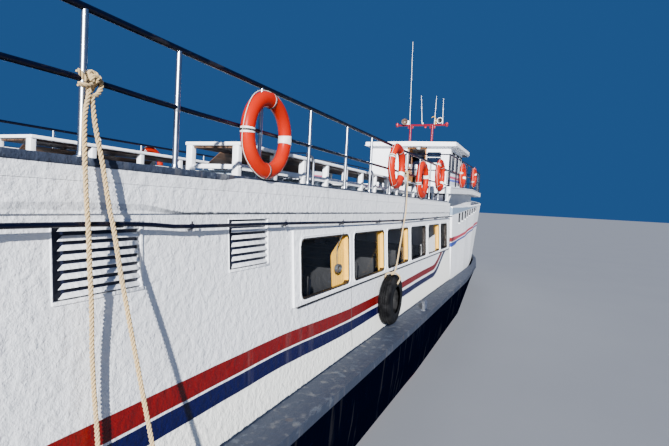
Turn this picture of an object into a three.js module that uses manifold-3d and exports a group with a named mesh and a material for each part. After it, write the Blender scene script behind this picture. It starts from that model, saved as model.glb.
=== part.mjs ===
// Passenger ferry, afloat: millimetres, +X to the bow, +Y to port, +Z up.
// The origin is on the centreline amidships, at the waterline.
import * as THREE from "three";
import { mergeVertices } from "three/addons/utils/BufferGeometryUtils.js";
import Module from "manifold-3d";

const wasm = await Module();
wasm.setup();

// Driving dimensions
const GAP = 0.3; // between pieces that touch
const RUN = 6; // running clearance of doors
const OVERLAP = 5; // how far joined shapes of one piece reach into each other
const DECK_Z = 1050; // main deck, the top of the hull
const LEDGE_Z = 1150; // top of the side ledge
const ROOF_Z = 3090; // underside of the upper deck
const UPPER_Z = 3170; // upper deck surface
const TOE_Z = 3215; // top of the strip along the upper deck's edge
const CABIN_AFT = -13600;
const CABIN_FORE = 2450;
const CABIN_HALF = 2880; // half-width over the cabin sides, at the main deck
const LEAN = THREE.MathUtils.degToRad(4); // the cabin sides lean in
const WALL = 50;
const UPPER_AFT = -15300;
const RAIL_TOP_Z = 4015;
const RAIL_MID_Z = 3628;
const RAIL_HALF = 2690;
const BRIDGE_AFT = 2200;
const BRIDGE_KNEE = 8200; // the bridge deck rises to here and is level beyond
const BRIDGE_FORE = 12600;
const BRIDGE_AFT_Z = 3600;
const BRIDGE_Z = 3780;
const BRIDGE_THICK = 180;
const BRIDGE_RAIL = 840;
const FORE_CABIN_HALF = 2200;
const FORE_CABIN_END = 10600;
const HOUSE_AFT = 8500;
const HOUSE_FORE = 11150;
const HOUSE_HALF = 1610;
const HOUSE_TOP_Z = 5420;
const HOUSE_WALL = 45;
const PROP_X = -14560;
const PROP_Y = 1100;
const PROP_Z = -1050;
const PROP_R = 370;
const RUDDER_X = -15150;

const root = new THREE.Group();
root.name = "passenger_ferry";

// Paints and finishes
const finish = (color, roughness, metalness = 0) =>
  new THREE.MeshStandardMaterial({ color, roughness, metalness });
const paint = {
  white: () => finish(0xe9e8e2, 0.55),
  navy: () => finish(0x17264f, 0.45),
  grey: () => finish(0x7f8587, 0.7),
  darkRail: () => finish(0x1b2240, 0.4),
  glass: () => finish(0x1a2029, 0.08),
  orange: () => finish(0xf0501a, 0.5),
  rubber: () => finish(0x17171a, 0.85),
  rope: () => finish(0xd9c79a, 0.9),
  red: () => finish(0xb01a2c, 0.45),
  bronze: () => finish(0xa9793c, 0.35, 0.9),
  wood: () => finish(0xa5652c, 0.5),
  seat: () => finish(0x2f4b80, 0.8),
  iron: () => finish(0x3c3f42, 0.6, 0.6),
};

// Solids: every piece goes through a manifold, so that joined shapes are one closed body
function solid(geometry) {
  const plain = geometry.clone();
  plain.deleteAttribute("normal");
  plain.deleteAttribute("uv");
  const merged = mergeVertices(plain, 1e-3);
  return new wasm.Manifold(
    new wasm.Mesh({
      numProp: 3,
      vertProperties: new Float32Array(merged.attributes.position.array),
      triVerts: new Uint32Array(merged.index.array),
    }),
  );
}

function geometryOf(body) {
  const mesh = body.getMesh();
  const geometry = new THREE.BufferGeometry();
  geometry.setAttribute("position", new THREE.BufferAttribute(mesh.vertProperties, 3));
  geometry.setIndex(new THREE.BufferAttribute(mesh.triVerts, 1));
  const flat = geometry.toNonIndexed();
  flat.computeVertexNormals();
  return flat;
}

const join = (parts) => parts.reduce((sum, part) => sum.add(part));
const cut = (body, tools) => tools.reduce((left, tool) => left.subtract(tool), body);

function place(name, body, material) {
  const mesh = new THREE.Mesh(geometryOf(body), material);
  mesh.name = name;
  root.add(mesh);
}

// Basic shapes, given by their corners or ends
function box([x0, y0, z0], [x1, y1, z1]) {
  const geometry = new THREE.BoxGeometry(x1 - x0, y1 - y0, z1 - z0);
  geometry.translate((x0 + x1) / 2, (y0 + y1) / 2, (z0 + z1) / 2);
  return solid(geometry);
}

function bar(from, to, radius, sides = 8) {
  const a = new THREE.Vector3(...from);
  const b = new THREE.Vector3(...to);
  const geometry = new THREE.CylinderGeometry(radius, radius, a.distanceTo(b), sides);
  const turn = new THREE.Quaternion().setFromUnitVectors(
    new THREE.Vector3(0, 1, 0),
    b.clone().sub(a).normalize(),
  );
  geometry.applyQuaternion(turn);
  geometry.translate(...a.add(b).multiplyScalar(0.5).toArray());
  return solid(geometry);
}

// A tube through points, mitred at each one; side is a direction the tube never runs in
function sweep(points, radius, sides, side) {
  const path = points.map((point) => new THREE.Vector3(...point));
  const away = new THREE.Vector3(...side);
  const sections = path.map((point, i) => {
    const before = path[Math.max(i - 1, 0)];
    const after = path[Math.min(i + 1, path.length - 1)];
    const along = after.clone().sub(before).normalize();
    const u = new THREE.Vector3().crossVectors(along, away).normalize();
    const v = new THREE.Vector3().crossVectors(u, along);
    return Array.from({ length: sides }, (_, k) => {
      const turn = ((k + 0.5) / sides) * Math.PI * 2;
      return point
        .clone()
        .addScaledVector(u, radius * Math.cos(turn))
        .addScaledVector(v, radius * Math.sin(turn))
        .toArray();
    });
  });
  return loft(sections);
}

// Outlines for panels and their openings
const outline = (points) => points.map(([u, v]) => new THREE.Vector2(u, v));

const rectangle = (u0, v0, u1, v1) =>
  outline([
    [u0, v0],
    [u1, v0],
    [u1, v1],
    [u0, v1],
  ]);

function rounded(u0, v0, u1, v1, r) {
  const shape = new THREE.Path();
  shape.moveTo(u0 + r, v0);
  shape.lineTo(u1 - r, v0);
  shape.absarc(u1 - r, v0 + r, r, -Math.PI / 2, 0);
  shape.lineTo(u1, v1 - r);
  shape.absarc(u1 - r, v1 - r, r, 0, Math.PI / 2);
  shape.lineTo(u0 + r, v1);
  shape.absarc(u0 + r, v1 - r, r, Math.PI / 2, Math.PI);
  shape.lineTo(u0, v0 + r);
  shape.absarc(u0 + r, v0 + r, r, Math.PI, Math.PI * 1.5);
  const points = shape.getPoints(2);
  return points.filter((point, i) => point.distanceTo(points.at(i - 1)) > 1e-3);
}

// A flat panel of an outline with openings, its thickness along the third axis from zero
function slab(points, thickness) {
  return solid(
    new THREE.ExtrudeGeometry(new THREE.Shape(points), { depth: thickness, bevelEnabled: false }),
  );
}

function panel(points, holes, thickness) {
  const tools = holes.map((hole) => slab(hole, thickness + 20).translate([0, 0, -10]));
  return cut(slab(points, thickness), tools);
}

const crossTurn = new THREE.Matrix4().makeBasis(
  new THREE.Vector3(0, 1, 0),
  new THREE.Vector3(0, 0, 1),
  new THREE.Vector3(1, 0, 0),
);
const crosswise = (body) => body.transform(crossTurn.elements);

// Panels drawn in X and Z, with their thickness to port from y
function sidePanel(points, holes, y, thickness) {
  return panel(points, holes, thickness)
    .rotate([90, 0, 0])
    .translate([0, y + thickness, 0]);
}

// Panels drawn in Y and Z, with their thickness forward from x
function crossPanel(points, holes, x, thickness) {
  return crosswise(panel(points, holes, thickness)).translate([x, 0, 0]);
}

// Panels drawn in X and Y, with their thickness up from z
function deckPanel(points, holes, z, thickness) {
  return panel(points, holes, thickness).translate([0, 0, z]);
}

// A closed body through like sections, each a ring of points, whichever way they run
function loft(sections) {
  const count = sections[0].length;
  const last = (sections.length - 1) * count;
  const triangles = [];
  for (let s = 0; s + 1 < sections.length; s += 1) {
    for (let i = 0; i < count; i += 1) {
      const a = s * count + i;
      const b = s * count + ((i + 1) % count);
      triangles.push([a, b, a + count], [b, b + count, a + count]);
    }
  }
  for (let i = 1; i + 1 < count; i += 1) {
    triangles.push([0, i + 1, i], [last, last + i, last + i + 1]);
  }
  const skin = (faces) => {
    const geometry = new THREE.BufferGeometry();
    geometry.setAttribute("position", new THREE.Float32BufferAttribute(sections.flat(2), 3));
    geometry.setIndex(faces.flat());
    return solid(geometry);
  };
  const body = skin(triangles);
  return body.volume() > 0 ? body : skin(triangles.map(([a, b, c]) => [a, c, b]));
}

const mirrored = (body) => body.mirror([0, 1, 0]);
const moved = (body, x, y, z) => body.translate([x, y, z]);

// The value of a table's column at x, straight between its rows
function at(table, x, column) {
  const next = table.findIndex((row) => row[0] >= x);
  if (next <= 0) return table[next < 0 ? table.length - 1 : 0][column];
  const [a, b] = [table[next - 1], table[next]];
  const t = (x - a[0]) / (b[0] - a[0]);
  return a[column] + t * (b[column] - a[column]);
}

// Hull: x, half-beam at deck, at waterline, at bilge, bilge z, keel z
const HULL = [
  [-16300, 2780, 2600, 1650, -330, -440],
  [-14300, 2980, 2850, 1950, -480, -700],
  [-12000, 3120, 3020, 2250, -650, -980],
  [-8000, 3220, 3130, 2480, -800, -1250],
  [-2000, 3240, 3150, 2550, -850, -1380],
  [3000, 3220, 3050, 2350, -850, -1400],
  [6500, 3040, 2700, 1850, -800, -1400],
  [9000, 2720, 2180, 1300, -750, -1390],
  [11000, 2290, 1560, 830, -700, -1360],
  [13000, 1720, 880, 420, -620, -1270],
  [14500, 1150, 390, 180, -520, -1060],
  [15600, 560, 110, 80, -330, -700],
  [16150, 150, 60, 50, 100, 0],
];
const KEEL_HALF = 45;
const TURN_Z = 150; // height of the hull's knuckle at the waterline

function hullSection([x, deck, water, bilge, bilgeZ, keelZ]) {
  const half = [
    [deck, DECK_Z],
    [(deck + water) / 2 + 20, (DECK_Z + TURN_Z) / 2],
    [water, TURN_Z],
    [bilge, bilgeZ],
    [KEEL_HALF, keelZ],
  ];
  const port = half.map(([y, z]) => [x, y, z]);
  const starboard = half.map(([y, z]) => [x, -y, z]).reverse();
  return [...port, ...starboard].reverse();
}

const ENGINE_WELL = { aft: -11200, fore: -7600, half: 1500, floor: -450 };
const KEEL = { aft: -13200, step: -6000, fore: 9000, low: -1500, high: -900, shallow: -1300 };
const SHAFT = { fore: -11900, r: 45, boss: 600, bossR: 120 };
const STOCK = { low: -760, high: -300, r: 42, bossR: 95 };
const ROUND = 10; // sides of a shaft, a boss or a hub

function hull() {
  const skeg = box([KEEL.aft, -KEEL_HALF, KEEL.low], [KEEL.step, KEEL_HALF, KEEL.high]);
  const heel = box(
    [KEEL.step - OVERLAP, -KEEL_HALF, KEEL.low],
    [KEEL.fore, KEEL_HALF, KEEL.shallow],
  );
  const well = box(
    [ENGINE_WELL.aft, -ENGINE_WELL.half, ENGINE_WELL.floor],
    [ENGINE_WELL.fore, ENGINE_WELL.half, DECK_Z + 100],
  );
  const bosses = [-PROP_Y, PROP_Y].flatMap((y) => {
    const fore = SHAFT.fore + SHAFT.boss;
    const fin = SHAFT.bossR / 2;
    return [
      bar([SHAFT.fore, y, PROP_Z], [fore, y, PROP_Z], SHAFT.bossR, ROUND),
      box([SHAFT.fore + 20, y - fin, PROP_Z], [fore - 20, y + fin, PROP_Z + 450]),
      bar([RUDDER_X, y, STOCK.low], [RUDDER_X, y, STOCK.high], STOCK.bossR, ROUND),
    ];
  });
  return cut(join([loft(HULL.map(hullSection)), skeg, heel, ...bosses]), [well]);
}
const hullBody = hull();
place("hull", hullBody, paint.navy());

// Shafts with their brackets, propellers and rudders
const HUB = { aft: -130, fore: 100, r: 70 };
const BRACKET = { length: 310, r: 85, arm: 25, foot: 90, footZ: -640, top: -500 };
function shaftBracket() {
  const y = -PROP_Y;
  const end = PROP_X + HUB.fore + GAP;
  const barrelAft = end + 30;
  const barrelFore = barrelAft + BRACKET.length;
  const shaft = bar([SHAFT.fore - GAP, y, PROP_Z], [end, y, PROP_Z], SHAFT.r, ROUND);
  const barrel = bar([barrelFore, y, PROP_Z], [barrelAft, y, PROP_Z], BRACKET.r, ROUND);
  const arm = box(
    [barrelAft + 50, y - BRACKET.arm, PROP_Z],
    [barrelFore - 50, y + BRACKET.arm, BRACKET.top],
  );
  const foot = box(
    [barrelAft + 10, y - BRACKET.foot, BRACKET.footZ],
    [barrelFore - 10, y + BRACKET.foot, BRACKET.top],
  );
  return join([shaft, barrel, arm, foot]);
}

const BLADE = { count: 4, thick: 16, pitch: 28 };
function propeller() {
  const hub = moved(bar([HUB.aft, 0, 0], [HUB.fore, 0, 0], HUB.r, 12), PROP_X, -PROP_Y, PROP_Z);
  const blades = Array.from({ length: BLADE.count }, (_, i) => {
    const shape = new THREE.Shape();
    shape.moveTo(-50, 55);
    shape.quadraticCurveTo(-150, 250, -60, PROP_R - 10);
    shape.quadraticCurveTo(0, PROP_R + 10, 70, PROP_R - 20);
    shape.quadraticCurveTo(170, 240, 50, 55);
    const blade = new THREE.ExtrudeGeometry(shape, {
      depth: BLADE.thick,
      bevelEnabled: false,
      curveSegments: 4,
    });
    blade.translate(0, 0, -BLADE.thick / 2);
    blade.rotateY(THREE.MathUtils.degToRad(90 - BLADE.pitch));
    blade.rotateX((i * Math.PI * 2) / BLADE.count);
    blade.translate(PROP_X, -PROP_Y, PROP_Z);
    return solid(blade);
  });
  return join([hub, ...blades]);
}

const FOIL = { fore: 170, aft: -360, half: 48, tail: 12, low: -1420, tall: 540 };
function rudder() {
  const { fore, aft, half, tail, low, tall } = FOIL;
  const stock = bar(
    [RUDDER_X, -PROP_Y, STOCK.low - GAP],
    [RUDDER_X, -PROP_Y, low + 20],
    STOCK.r,
    ROUND,
  );
  const section = new THREE.Shape();
  section.moveTo(fore, 0);
  section.quadraticCurveTo(fore - 20, half - 3, 20, half);
  section.lineTo(aft, tail);
  section.lineTo(aft, -tail);
  section.lineTo(20, -half);
  section.quadraticCurveTo(fore - 20, 3 - half, fore, 0);
  const blade = new THREE.ExtrudeGeometry(section, {
    depth: tall,
    bevelEnabled: false,
    curveSegments: 4,
  });
  blade.translate(RUDDER_X, -PROP_Y, low);
  return join([stock, solid(blade)]);
}

const sides = [
  { name: "starboard", turn: (body) => body, sign: -1 },
  { name: "port", turn: mirrored, sign: 1 },
];
const hullSeat = moved(hullBody, 0, 0, -GAP);
for (const side of sides) {
  const bracket = cut(side.turn(shaftBracket()), [hullSeat]);
  place(`shaft_bracket_${side.name}`, bracket, paint.bronze());
  place(`propeller_${side.name}`, side.turn(propeller()), paint.bronze());
  place(`rudder_${side.name}`, side.turn(rudder()), paint.navy());
}

// Engines: two plain blocks on one bed, in the well
const ENGINE = { aft: -10500, fore: -8300, y: 650, half: 350, low: -250, high: 750, bed: 400 };
function engines() {
  const bed = box(
    [ENGINE.aft - ENGINE.bed, -ENGINE.y - ENGINE.bed, ENGINE_WELL.floor + GAP],
    [ENGINE.fore + ENGINE.bed, ENGINE.y + ENGINE.bed, ENGINE.low],
  );
  const blocks = [-ENGINE.y, ENGINE.y].map((y) =>
    box(
      [ENGINE.aft, y - ENGINE.half, ENGINE.low - OVERLAP],
      [ENGINE.fore, y + ENGINE.half, ENGINE.high],
    ),
  );
  return join([bed, ...blocks]);
}
place("engines", engines(), paint.iron());

const FLOOR_THICK = 40;
function cabinFloor() {
  return box(
    [ENGINE_WELL.aft - 200, -ENGINE_WELL.half - 200, DECK_Z + GAP],
    [ENGINE_WELL.fore + 200, ENGINE_WELL.half + 200, DECK_Z + FLOOR_THICK],
  );
}
place("cabin_floor", cabinFloor(), paint.grey());

// Side ledge: a grey strip around the hull's edge, outside the cabin, with two bitts
const LEDGE_FORE = 10400;
const LEDGE_AFT = -16240;
const BITT = { x: -1750, inset: 110, half: 110, gap: 60, tall: 170, bar: 120, r: 32, barR: 20 };
function ledgeBitt(s) {
  const { x, half, gap, r, barR } = BITT;
  const y = s * (at(HULL, x, 1) - BITT.inset);
  const barZ = LEDGE_Z + BITT.bar;
  const posts = [x - gap, x + gap].map((post) =>
    bar([post, y, LEDGE_Z], [post, y, LEDGE_Z + BITT.tall], r),
  );
  return join([
    box([x - half, y - r * 1.4, LEDGE_Z - OVERLAP], [x + half, y + r * 1.4, LEDGE_Z + barR]),
    bar([x - half - barR, y, barZ], [x + half + barR, y, barZ], barR),
    ...posts,
  ]);
}

function ledge() {
  const xs = HULL.map((row) => row[0]).filter((x) => x < LEDGE_FORE);
  xs.push(LEDGE_FORE);
  const outer = xs.map((x) => [x, at(HULL, x, 1) + 20]);
  const inner = xs.map((x) => [x, Math.min(CABIN_HALF + 6, at(HULL, x, 1) - 60)]);
  inner[0] = [LEDGE_AFT, inner[0][1]];
  const loop = [
    ...inner.map(([x, y]) => [x, -y]).reverse(),
    ...inner,
    ...outer.slice().reverse(),
    ...outer.map(([x, y]) => [x, -y]),
  ];
  const strip = deckPanel(outline(loop.reverse()), [], DECK_Z + GAP, LEDGE_Z - DECK_Z - GAP);
  return join([strip, ledgeBitt(-1), ledgeBitt(1)]);
}
place("side_ledge", ledge(), paint.grey());

// Bow bulwark: foot x, foot half-beam, top x, top half-beam, top z
const BULWARK = [
  [2600, 2850, 2600, 2800, 3070],
  [5000, 2840, 5000, 2835, 3120],
  [7000, 2740, 7000, 2845, 3180],
  [9000, 2560, 9100, 2770, 3240],
  [11000, 2210, 11300, 2500, 3310],
  [13000, 1660, 13500, 2020, 3390],
  [14500, 1100, 15200, 1380, 3460],
  [15600, 510, 16400, 660, 3520],
  [16080, 0, 16950, 0, 3550],
];
const BULWARK_THICK = 70;
const SLOT = { aft: 3600, pitch: 520, width: 300, count: 8 };
const SLOT_Z = { low: 2605, lowRise: 52, high: 2900, highRise: 32 };

function bulwarkSection([footX, foot, topX, top, topZ], sign) {
  const stem = foot === 0;
  const inset = stem ? 0 : BULWARK_THICK;
  const back = stem ? BULWARK_THICK * 2.2 : 0;
  const footZ = DECK_Z + GAP;
  return [
    [footX, sign * foot, footZ],
    [topX, sign * top, topZ],
    [topX - back, sign * (top - inset), topZ],
    [footX - back, sign * (foot - inset), footZ],
  ];
}

function bowBulwark() {
  const starboard = BULWARK.map((row) => bulwarkSection(row, -1));
  const port = BULWARK.slice(0, -1)
    .reverse()
    .map((row) => bulwarkSection(row, 1));
  const shell = loft([...starboard, ...port]);
  const slots = Array.from({ length: SLOT.count }, (_, i) => {
    const x = SLOT.aft + i * SLOT.pitch;
    const low = SLOT_Z.low + i * SLOT_Z.lowRise;
    const high = SLOT_Z.high + i * SLOT_Z.highRise;
    return box([x, -CABIN_HALF, low], [x + SLOT.width, CABIN_HALF, high]);
  });
  return cut(shell, slots);
}
place("bow_bulwark", bowBulwark(), paint.white());

// Foredeck inside the bow, on its own bulkhead
const FOREDECK_Z = 2000;
const FOREDECK_AFT = 11200;
const FOREDECK = { aftHalf: 2060, thick: 80, lift: 0.43 }; // lift: share of the bulwark's flare
const BOW_BITT = { x: 13300, y: 350, tall: 380, r: 70, bar: 260, reach: 180, barR: 35 };
function bowBitt(s) {
  const { x, tall, r, reach, barR } = BOW_BITT;
  const y = s * BOW_BITT.y;
  const barZ = FOREDECK_Z + BOW_BITT.bar;
  return join([
    bar([x, y, FOREDECK_Z - OVERLAP], [x, y, FOREDECK_Z + tall], r),
    bar([x, y - reach, barZ], [x, y + reach, barZ], barR),
  ]);
}

function foredeck() {
  const { aftHalf, thick, lift } = FOREDECK;
  const inside = BULWARK.filter((row) => row[0] > FOREDECK_AFT && row[1] > 0);
  const edge = [
    [FOREDECK_AFT, aftHalf],
    ...inside.map(([fx, f, tx, t]) => [
      fx + lift * (tx - fx) - 60,
      Math.max(60, f + lift * (t - f) - 190),
    ]),
  ];
  const loop = [...edge.map(([x, y]) => [x, -y]), ...edge.slice().reverse()];
  const top = deckPanel(outline(loop), [], FOREDECK_Z - thick, thick);
  const bulkhead = box(
    [FOREDECK_AFT, 10 - aftHalf, DECK_Z + GAP],
    [FOREDECK_AFT + 60, aftHalf - 10, FOREDECK_Z - thick / 2],
  );
  return join([top, bulkhead, bowBitt(-1), bowBitt(1)]);
}
place("foredeck", foredeck(), paint.grey());

// Anchor windlass
const WINDLASS = { x: 12400, half: 250, base: 330, cheek: 220, drum: 480, drumZ: 300, r: 90 };
function windlass() {
  const { x, half, base, cheek, drum, r } = WINDLASS;
  const drumZ = FOREDECK_Z + WINDLASS.drumZ;
  const plate = box([x - half, -base, FOREDECK_Z + GAP], [x + half, base, FOREDECK_Z + 60]);
  const cheeks = [-cheek, cheek].map((y) =>
    box([x - half + 100, y - 40, FOREDECK_Z + 50], [x + half - 100, y + 40, drumZ + r + 30]),
  );
  return join([plate, ...cheeks, bar([x, -drum, drumZ], [x, drum, drumZ], r, 12)]);
}
place("anchor_windlass", windlass(), paint.iron());

// Bridge deck: x, half-beam, surface z
const BRIDGE = [
  [BRIDGE_AFT, 2780, BRIDGE_AFT_Z],
  [BRIDGE_KNEE, 2560, BRIDGE_Z],
  [12000, 2420, BRIDGE_Z],
  [BRIDGE_FORE, 2120, BRIDGE_Z],
];
const FEET = { count: 15, half: 2690, wide: 60 };
function bridgeDeck() {
  const slab = loft(
    BRIDGE.map(([x, half, z]) => [
      [x, -half, z],
      [x, -half, z - BRIDGE_THICK],
      [x, half, z - BRIDGE_THICK],
      [x, half, z],
    ]),
  );
  const feet = Array.from({ length: FEET.count }, (_, i) => {
    const y = FEET.half * ((2 * i) / (FEET.count - 1) - 1);
    return box(
      [BRIDGE_AFT + 40, y - FEET.wide / 2, UPPER_Z + GAP],
      [BRIDGE_AFT + 110, y + FEET.wide / 2, BRIDGE_AFT_Z - 100],
    );
  });
  const braces = [-1, 1].map((s) =>
    sidePanel(
      outline([
        [BRIDGE_AFT + 50, UPPER_Z + GAP],
        [BRIDGE_AFT + 140, UPPER_Z + GAP],
        [BRIDGE_AFT + 640, BRIDGE_AFT_Z - 120],
        [BRIDGE_AFT + 530, BRIDGE_AFT_Z - 120],
      ]),
      [],
      s * FEET.half - FEET.wide / 2,
      FEET.wide,
    ),
  );
  return join([slab, ...feet, ...braces]);
}
place("bridge_deck", bridgeDeck(), paint.white());

// Fore cabin under the bridge deck
const underBridge = (x) => at(BRIDGE, x, 2) - BRIDGE_THICK - GAP;
const FORE_AFT = CABIN_FORE + 60;
const FORE_PANES = [3600, 5200, 6800, 8400];
const FORE_PANE = { width: 1100, low: 2250, high: 2850, corner: 80 };
function foreCabinSide() {
  const shape = [
    [FORE_AFT, DECK_Z + GAP],
    [FORE_CABIN_END, DECK_Z + GAP],
    [FORE_CABIN_END, underBridge(FORE_CABIN_END)],
    [BRIDGE_KNEE, underBridge(BRIDGE_KNEE)],
    [FORE_AFT, underBridge(FORE_AFT)],
  ];
  const { width, low, high, corner } = FORE_PANE;
  const panes = FORE_PANES.map((x) => rounded(x, low, x + width, high, corner));
  return sidePanel(outline(shape), panes, -FORE_CABIN_HALF, WALL);
}
for (const side of sides) {
  place(`fore_cabin_side_${side.name}`, side.turn(foreCabinSide()), paint.white());
}

function foreCabinFront() {
  const half = FORE_CABIN_HALF - WALL - GAP;
  const top = underBridge(FORE_CABIN_END);
  const panes = [-1500, -450, 600].map((y) =>
    rounded(y, FORE_PANE.low, y + 900, FORE_PANE.high, FORE_PANE.corner),
  );
  return crossPanel(
    rectangle(-half, DECK_Z + GAP, half, top),
    panes,
    FORE_CABIN_END - WALL,
    WALL,
  );
}
place("fore_cabin_front", foreCabinFront(), paint.white());

// Cabin sides: drawn upright at y = -CABIN_HALF, then leant in about their foot
const WINDOWS = {
  ends: [
    [-6190, -4880],
    [-4700, -3410],
    [-3235, -1945],
    [-1755, -500],
    [-270, 915],
    [1080, 1945],
  ],
  low: 2042,
  high: 2655,
  corner: 70,
};
const FRAME = { aft: -6350, fore: 2250, low: 1990, high: 2750, proud: 20 };
const LOUVRES = [-8865, -7385]; // aft ends of the recesses for the louvres
const LOUVRE = { width: 575, low: 2475, high: 2870, deep: 28 };
const FASCIA = { low: 2920, proud: 14 };

function leanIn(body) {
  const turned = moved(body, 0, CABIN_HALF, -DECK_Z).rotate([
    THREE.MathUtils.radToDeg(-LEAN),
    0,
    0,
  ]);
  return moved(turned, 0, -CABIN_HALF, DECK_Z);
}

function cabinSide() {
  const high = DECK_Z + (ROOF_Z - DECK_Z) / Math.cos(LEAN) - 3;
  const outside = -CABIN_HALF - FRAME.proud;
  const wall = box([CABIN_AFT, -CABIN_HALF, DECK_Z - 20], [CABIN_FORE, -CABIN_HALF + WALL, high]);
  const frame = box(
    [FRAME.aft, outside, FRAME.low],
    [FRAME.fore, -CABIN_HALF + OVERLAP, FRAME.high],
  );
  const fascia = box(
    [CABIN_AFT, -CABIN_HALF - FASCIA.proud, FASCIA.low],
    [CABIN_FORE, -CABIN_HALF + OVERLAP, high],
  );
  const windows = WINDOWS.ends.map(([aft, fore]) => {
    const hole = rounded(aft, WINDOWS.low, fore, WINDOWS.high, WINDOWS.corner);
    return sidePanel(hole, [], outside - WALL, WALL * 4);
  });
  const recesses = LOUVRES.map((x) =>
    box(
      [x, outside, LOUVRE.low],
      [x + LOUVRE.width, -CABIN_HALF + LOUVRE.deep, LOUVRE.high],
    ),
  );
  const below = box(
    [CABIN_AFT - 10, -CABIN_HALF - 200, DECK_Z - 200],
    [CABIN_FORE + 10, -CABIN_HALF + 200, DECK_Z + GAP],
  );
  return cut(leanIn(cut(join([wall, frame, fascia]), [...windows, ...recesses])), [below]);
}

function windowGlass() {
  const behind = -CABIN_HALF + WALL + GAP;
  return leanIn(
    box([FRAME.aft + 60, behind, FRAME.low + 40], [FRAME.fore - 60, behind + 8, FRAME.high - 40]),
  );
}
for (const side of sides) {
  place(`cabin_side_${side.name}`, side.turn(cabinSide()), paint.white());
  place(`window_glass_${side.name}`, side.turn(windowGlass()), paint.glass());
}

// Cross walls of the cabin, cut to the lean of the sides
const innerHalf = (z) => CABIN_HALF - WALL / Math.cos(LEAN) - (z - DECK_Z) * Math.tan(LEAN) - 1;
const crossOutline = () => [
  [-innerHalf(DECK_Z), DECK_Z + GAP],
  [innerHalf(DECK_Z), DECK_Z + GAP],
  [innerHalf(ROOF_Z), ROOF_Z - GAP],
  [-innerHalf(ROOF_Z), ROOF_Z - GAP],
];
const DOOR = { half: 450, sill: 1180, head: 3000, leaf: 40 };
const HINGE = { r: 16, low: 1500, high: 2700, tall: 70, lug: 12, leaf: 8, out: 32, side: 45 };

// The door hangs on the aft face of the wall: hinge lugs on the wall carry its pins
const DOOR_HINGE = { x: CABIN_AFT - HINGE.out, y: -DOOR.half - HINGE.side };
function cabinAftWall() {
  const doorway = rectangle(-DOOR.half, DOOR.sill, DOOR.half, DOOR.head);
  const panes = [-2050, 950].map((y) =>
    rounded(y, WINDOWS.low, y + 1100, WINDOWS.high, WINDOWS.corner),
  );
  const wall = crossPanel(outline(crossOutline()), [doorway, ...panes], CABIN_AFT, WALL);
  const lugs = [HINGE.low, HINGE.high].flatMap((z) => [
    bar([DOOR_HINGE.x, DOOR_HINGE.y, z - HINGE.tall], [DOOR_HINGE.x, DOOR_HINGE.y, z], HINGE.r),
    box(
      [DOOR_HINGE.x, DOOR_HINGE.y - HINGE.lug, z - HINGE.tall],
      [CABIN_AFT + OVERLAP, DOOR_HINGE.y + HINGE.lug, z],
    ),
  ]);
  return join([wall, ...lugs]);
}
place("cabin_aft_wall", cabinAftWall(), paint.white());

const DOOR_GRIP = { low: 2020, high: 2220 };
function cabinDoor() {
  const near = CABIN_AFT - RUN;
  const leaf = crossPanel(
    rectangle(DOOR_HINGE.y + 30, DOOR.sill - 30, DOOR.half + 40, DOOR.head + 30),
    [rounded(-250, WINDOWS.low + 8, 250, WINDOWS.high + 45, WINDOWS.corner)],
    near - DOOR.leaf,
    DOOR.leaf,
  );
  const knuckles = [HINGE.low, HINGE.high].flatMap((z) => [
    bar(
      [DOOR_HINGE.x, DOOR_HINGE.y, z + GAP],
      [DOOR_HINGE.x, DOOR_HINGE.y, z + HINGE.tall],
      HINGE.r,
    ),
    box(
      [DOOR_HINGE.x - HINGE.leaf, DOOR_HINGE.y, z + GAP],
      [DOOR_HINGE.x + HINGE.leaf, DOOR_HINGE.y + 60, z + HINGE.tall],
    ),
  ]);
  const grip = box(
    [near - DOOR.leaf - 40, DOOR.half - 90, DOOR_GRIP.low],
    [near - DOOR.leaf + OVERLAP, DOOR.half - 60, DOOR_GRIP.high],
  );
  return join([leaf, ...knuckles, grip]);
}
place("cabin_door", cabinDoor(), paint.white());

function cabinFrontWall() {
  const half = DOOR.half + 50;
  const doorway = rectangle(-half, DOOR.sill, half, DOOR.head - 50);
  return crossPanel(outline(crossOutline()), [doorway], CABIN_FORE - WALL, WALL);
}
place("cabin_front_wall", cabinFrontWall(), paint.white());

// Upper deck with the strip along its edges
const UPPER_HALF = CABIN_HALF - (ROOF_Z - DECK_Z) * Math.tan(LEAN) + FASCIA.proud;
const STAIR = { x0: -14900, x1: -13900, y0: 700, y1: 1500 };
const STRIP = { half: 40, inset: 12 };
function upperDeck() {
  const slab = deckPanel(
    rectangle(UPPER_AFT, -UPPER_HALF, CABIN_FORE, UPPER_HALF),
    [rectangle(STAIR.x0, STAIR.y0, STAIR.x1, STAIR.y1)],
    ROOF_Z,
    UPPER_Z - ROOF_Z,
  );
  const strips = [-1, 1].map((s) => {
    const y = s * (UPPER_HALF - STRIP.inset - STRIP.half);
    return box(
      [UPPER_AFT, y - STRIP.half, UPPER_Z - OVERLAP],
      [BRIDGE_AFT - 20, y + STRIP.half, TOE_Z],
    );
  });
  const across = UPPER_HALF - STRIP.inset - OVERLAP;
  const aft = box(
    [UPPER_AFT, -across, UPPER_Z - OVERLAP],
    [UPPER_AFT + STRIP.half * 2, across, TOE_Z],
  );
  return join([slab, ...strips, aft]);
}
place("upper_deck", upperDeck(), paint.grey());

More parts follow.
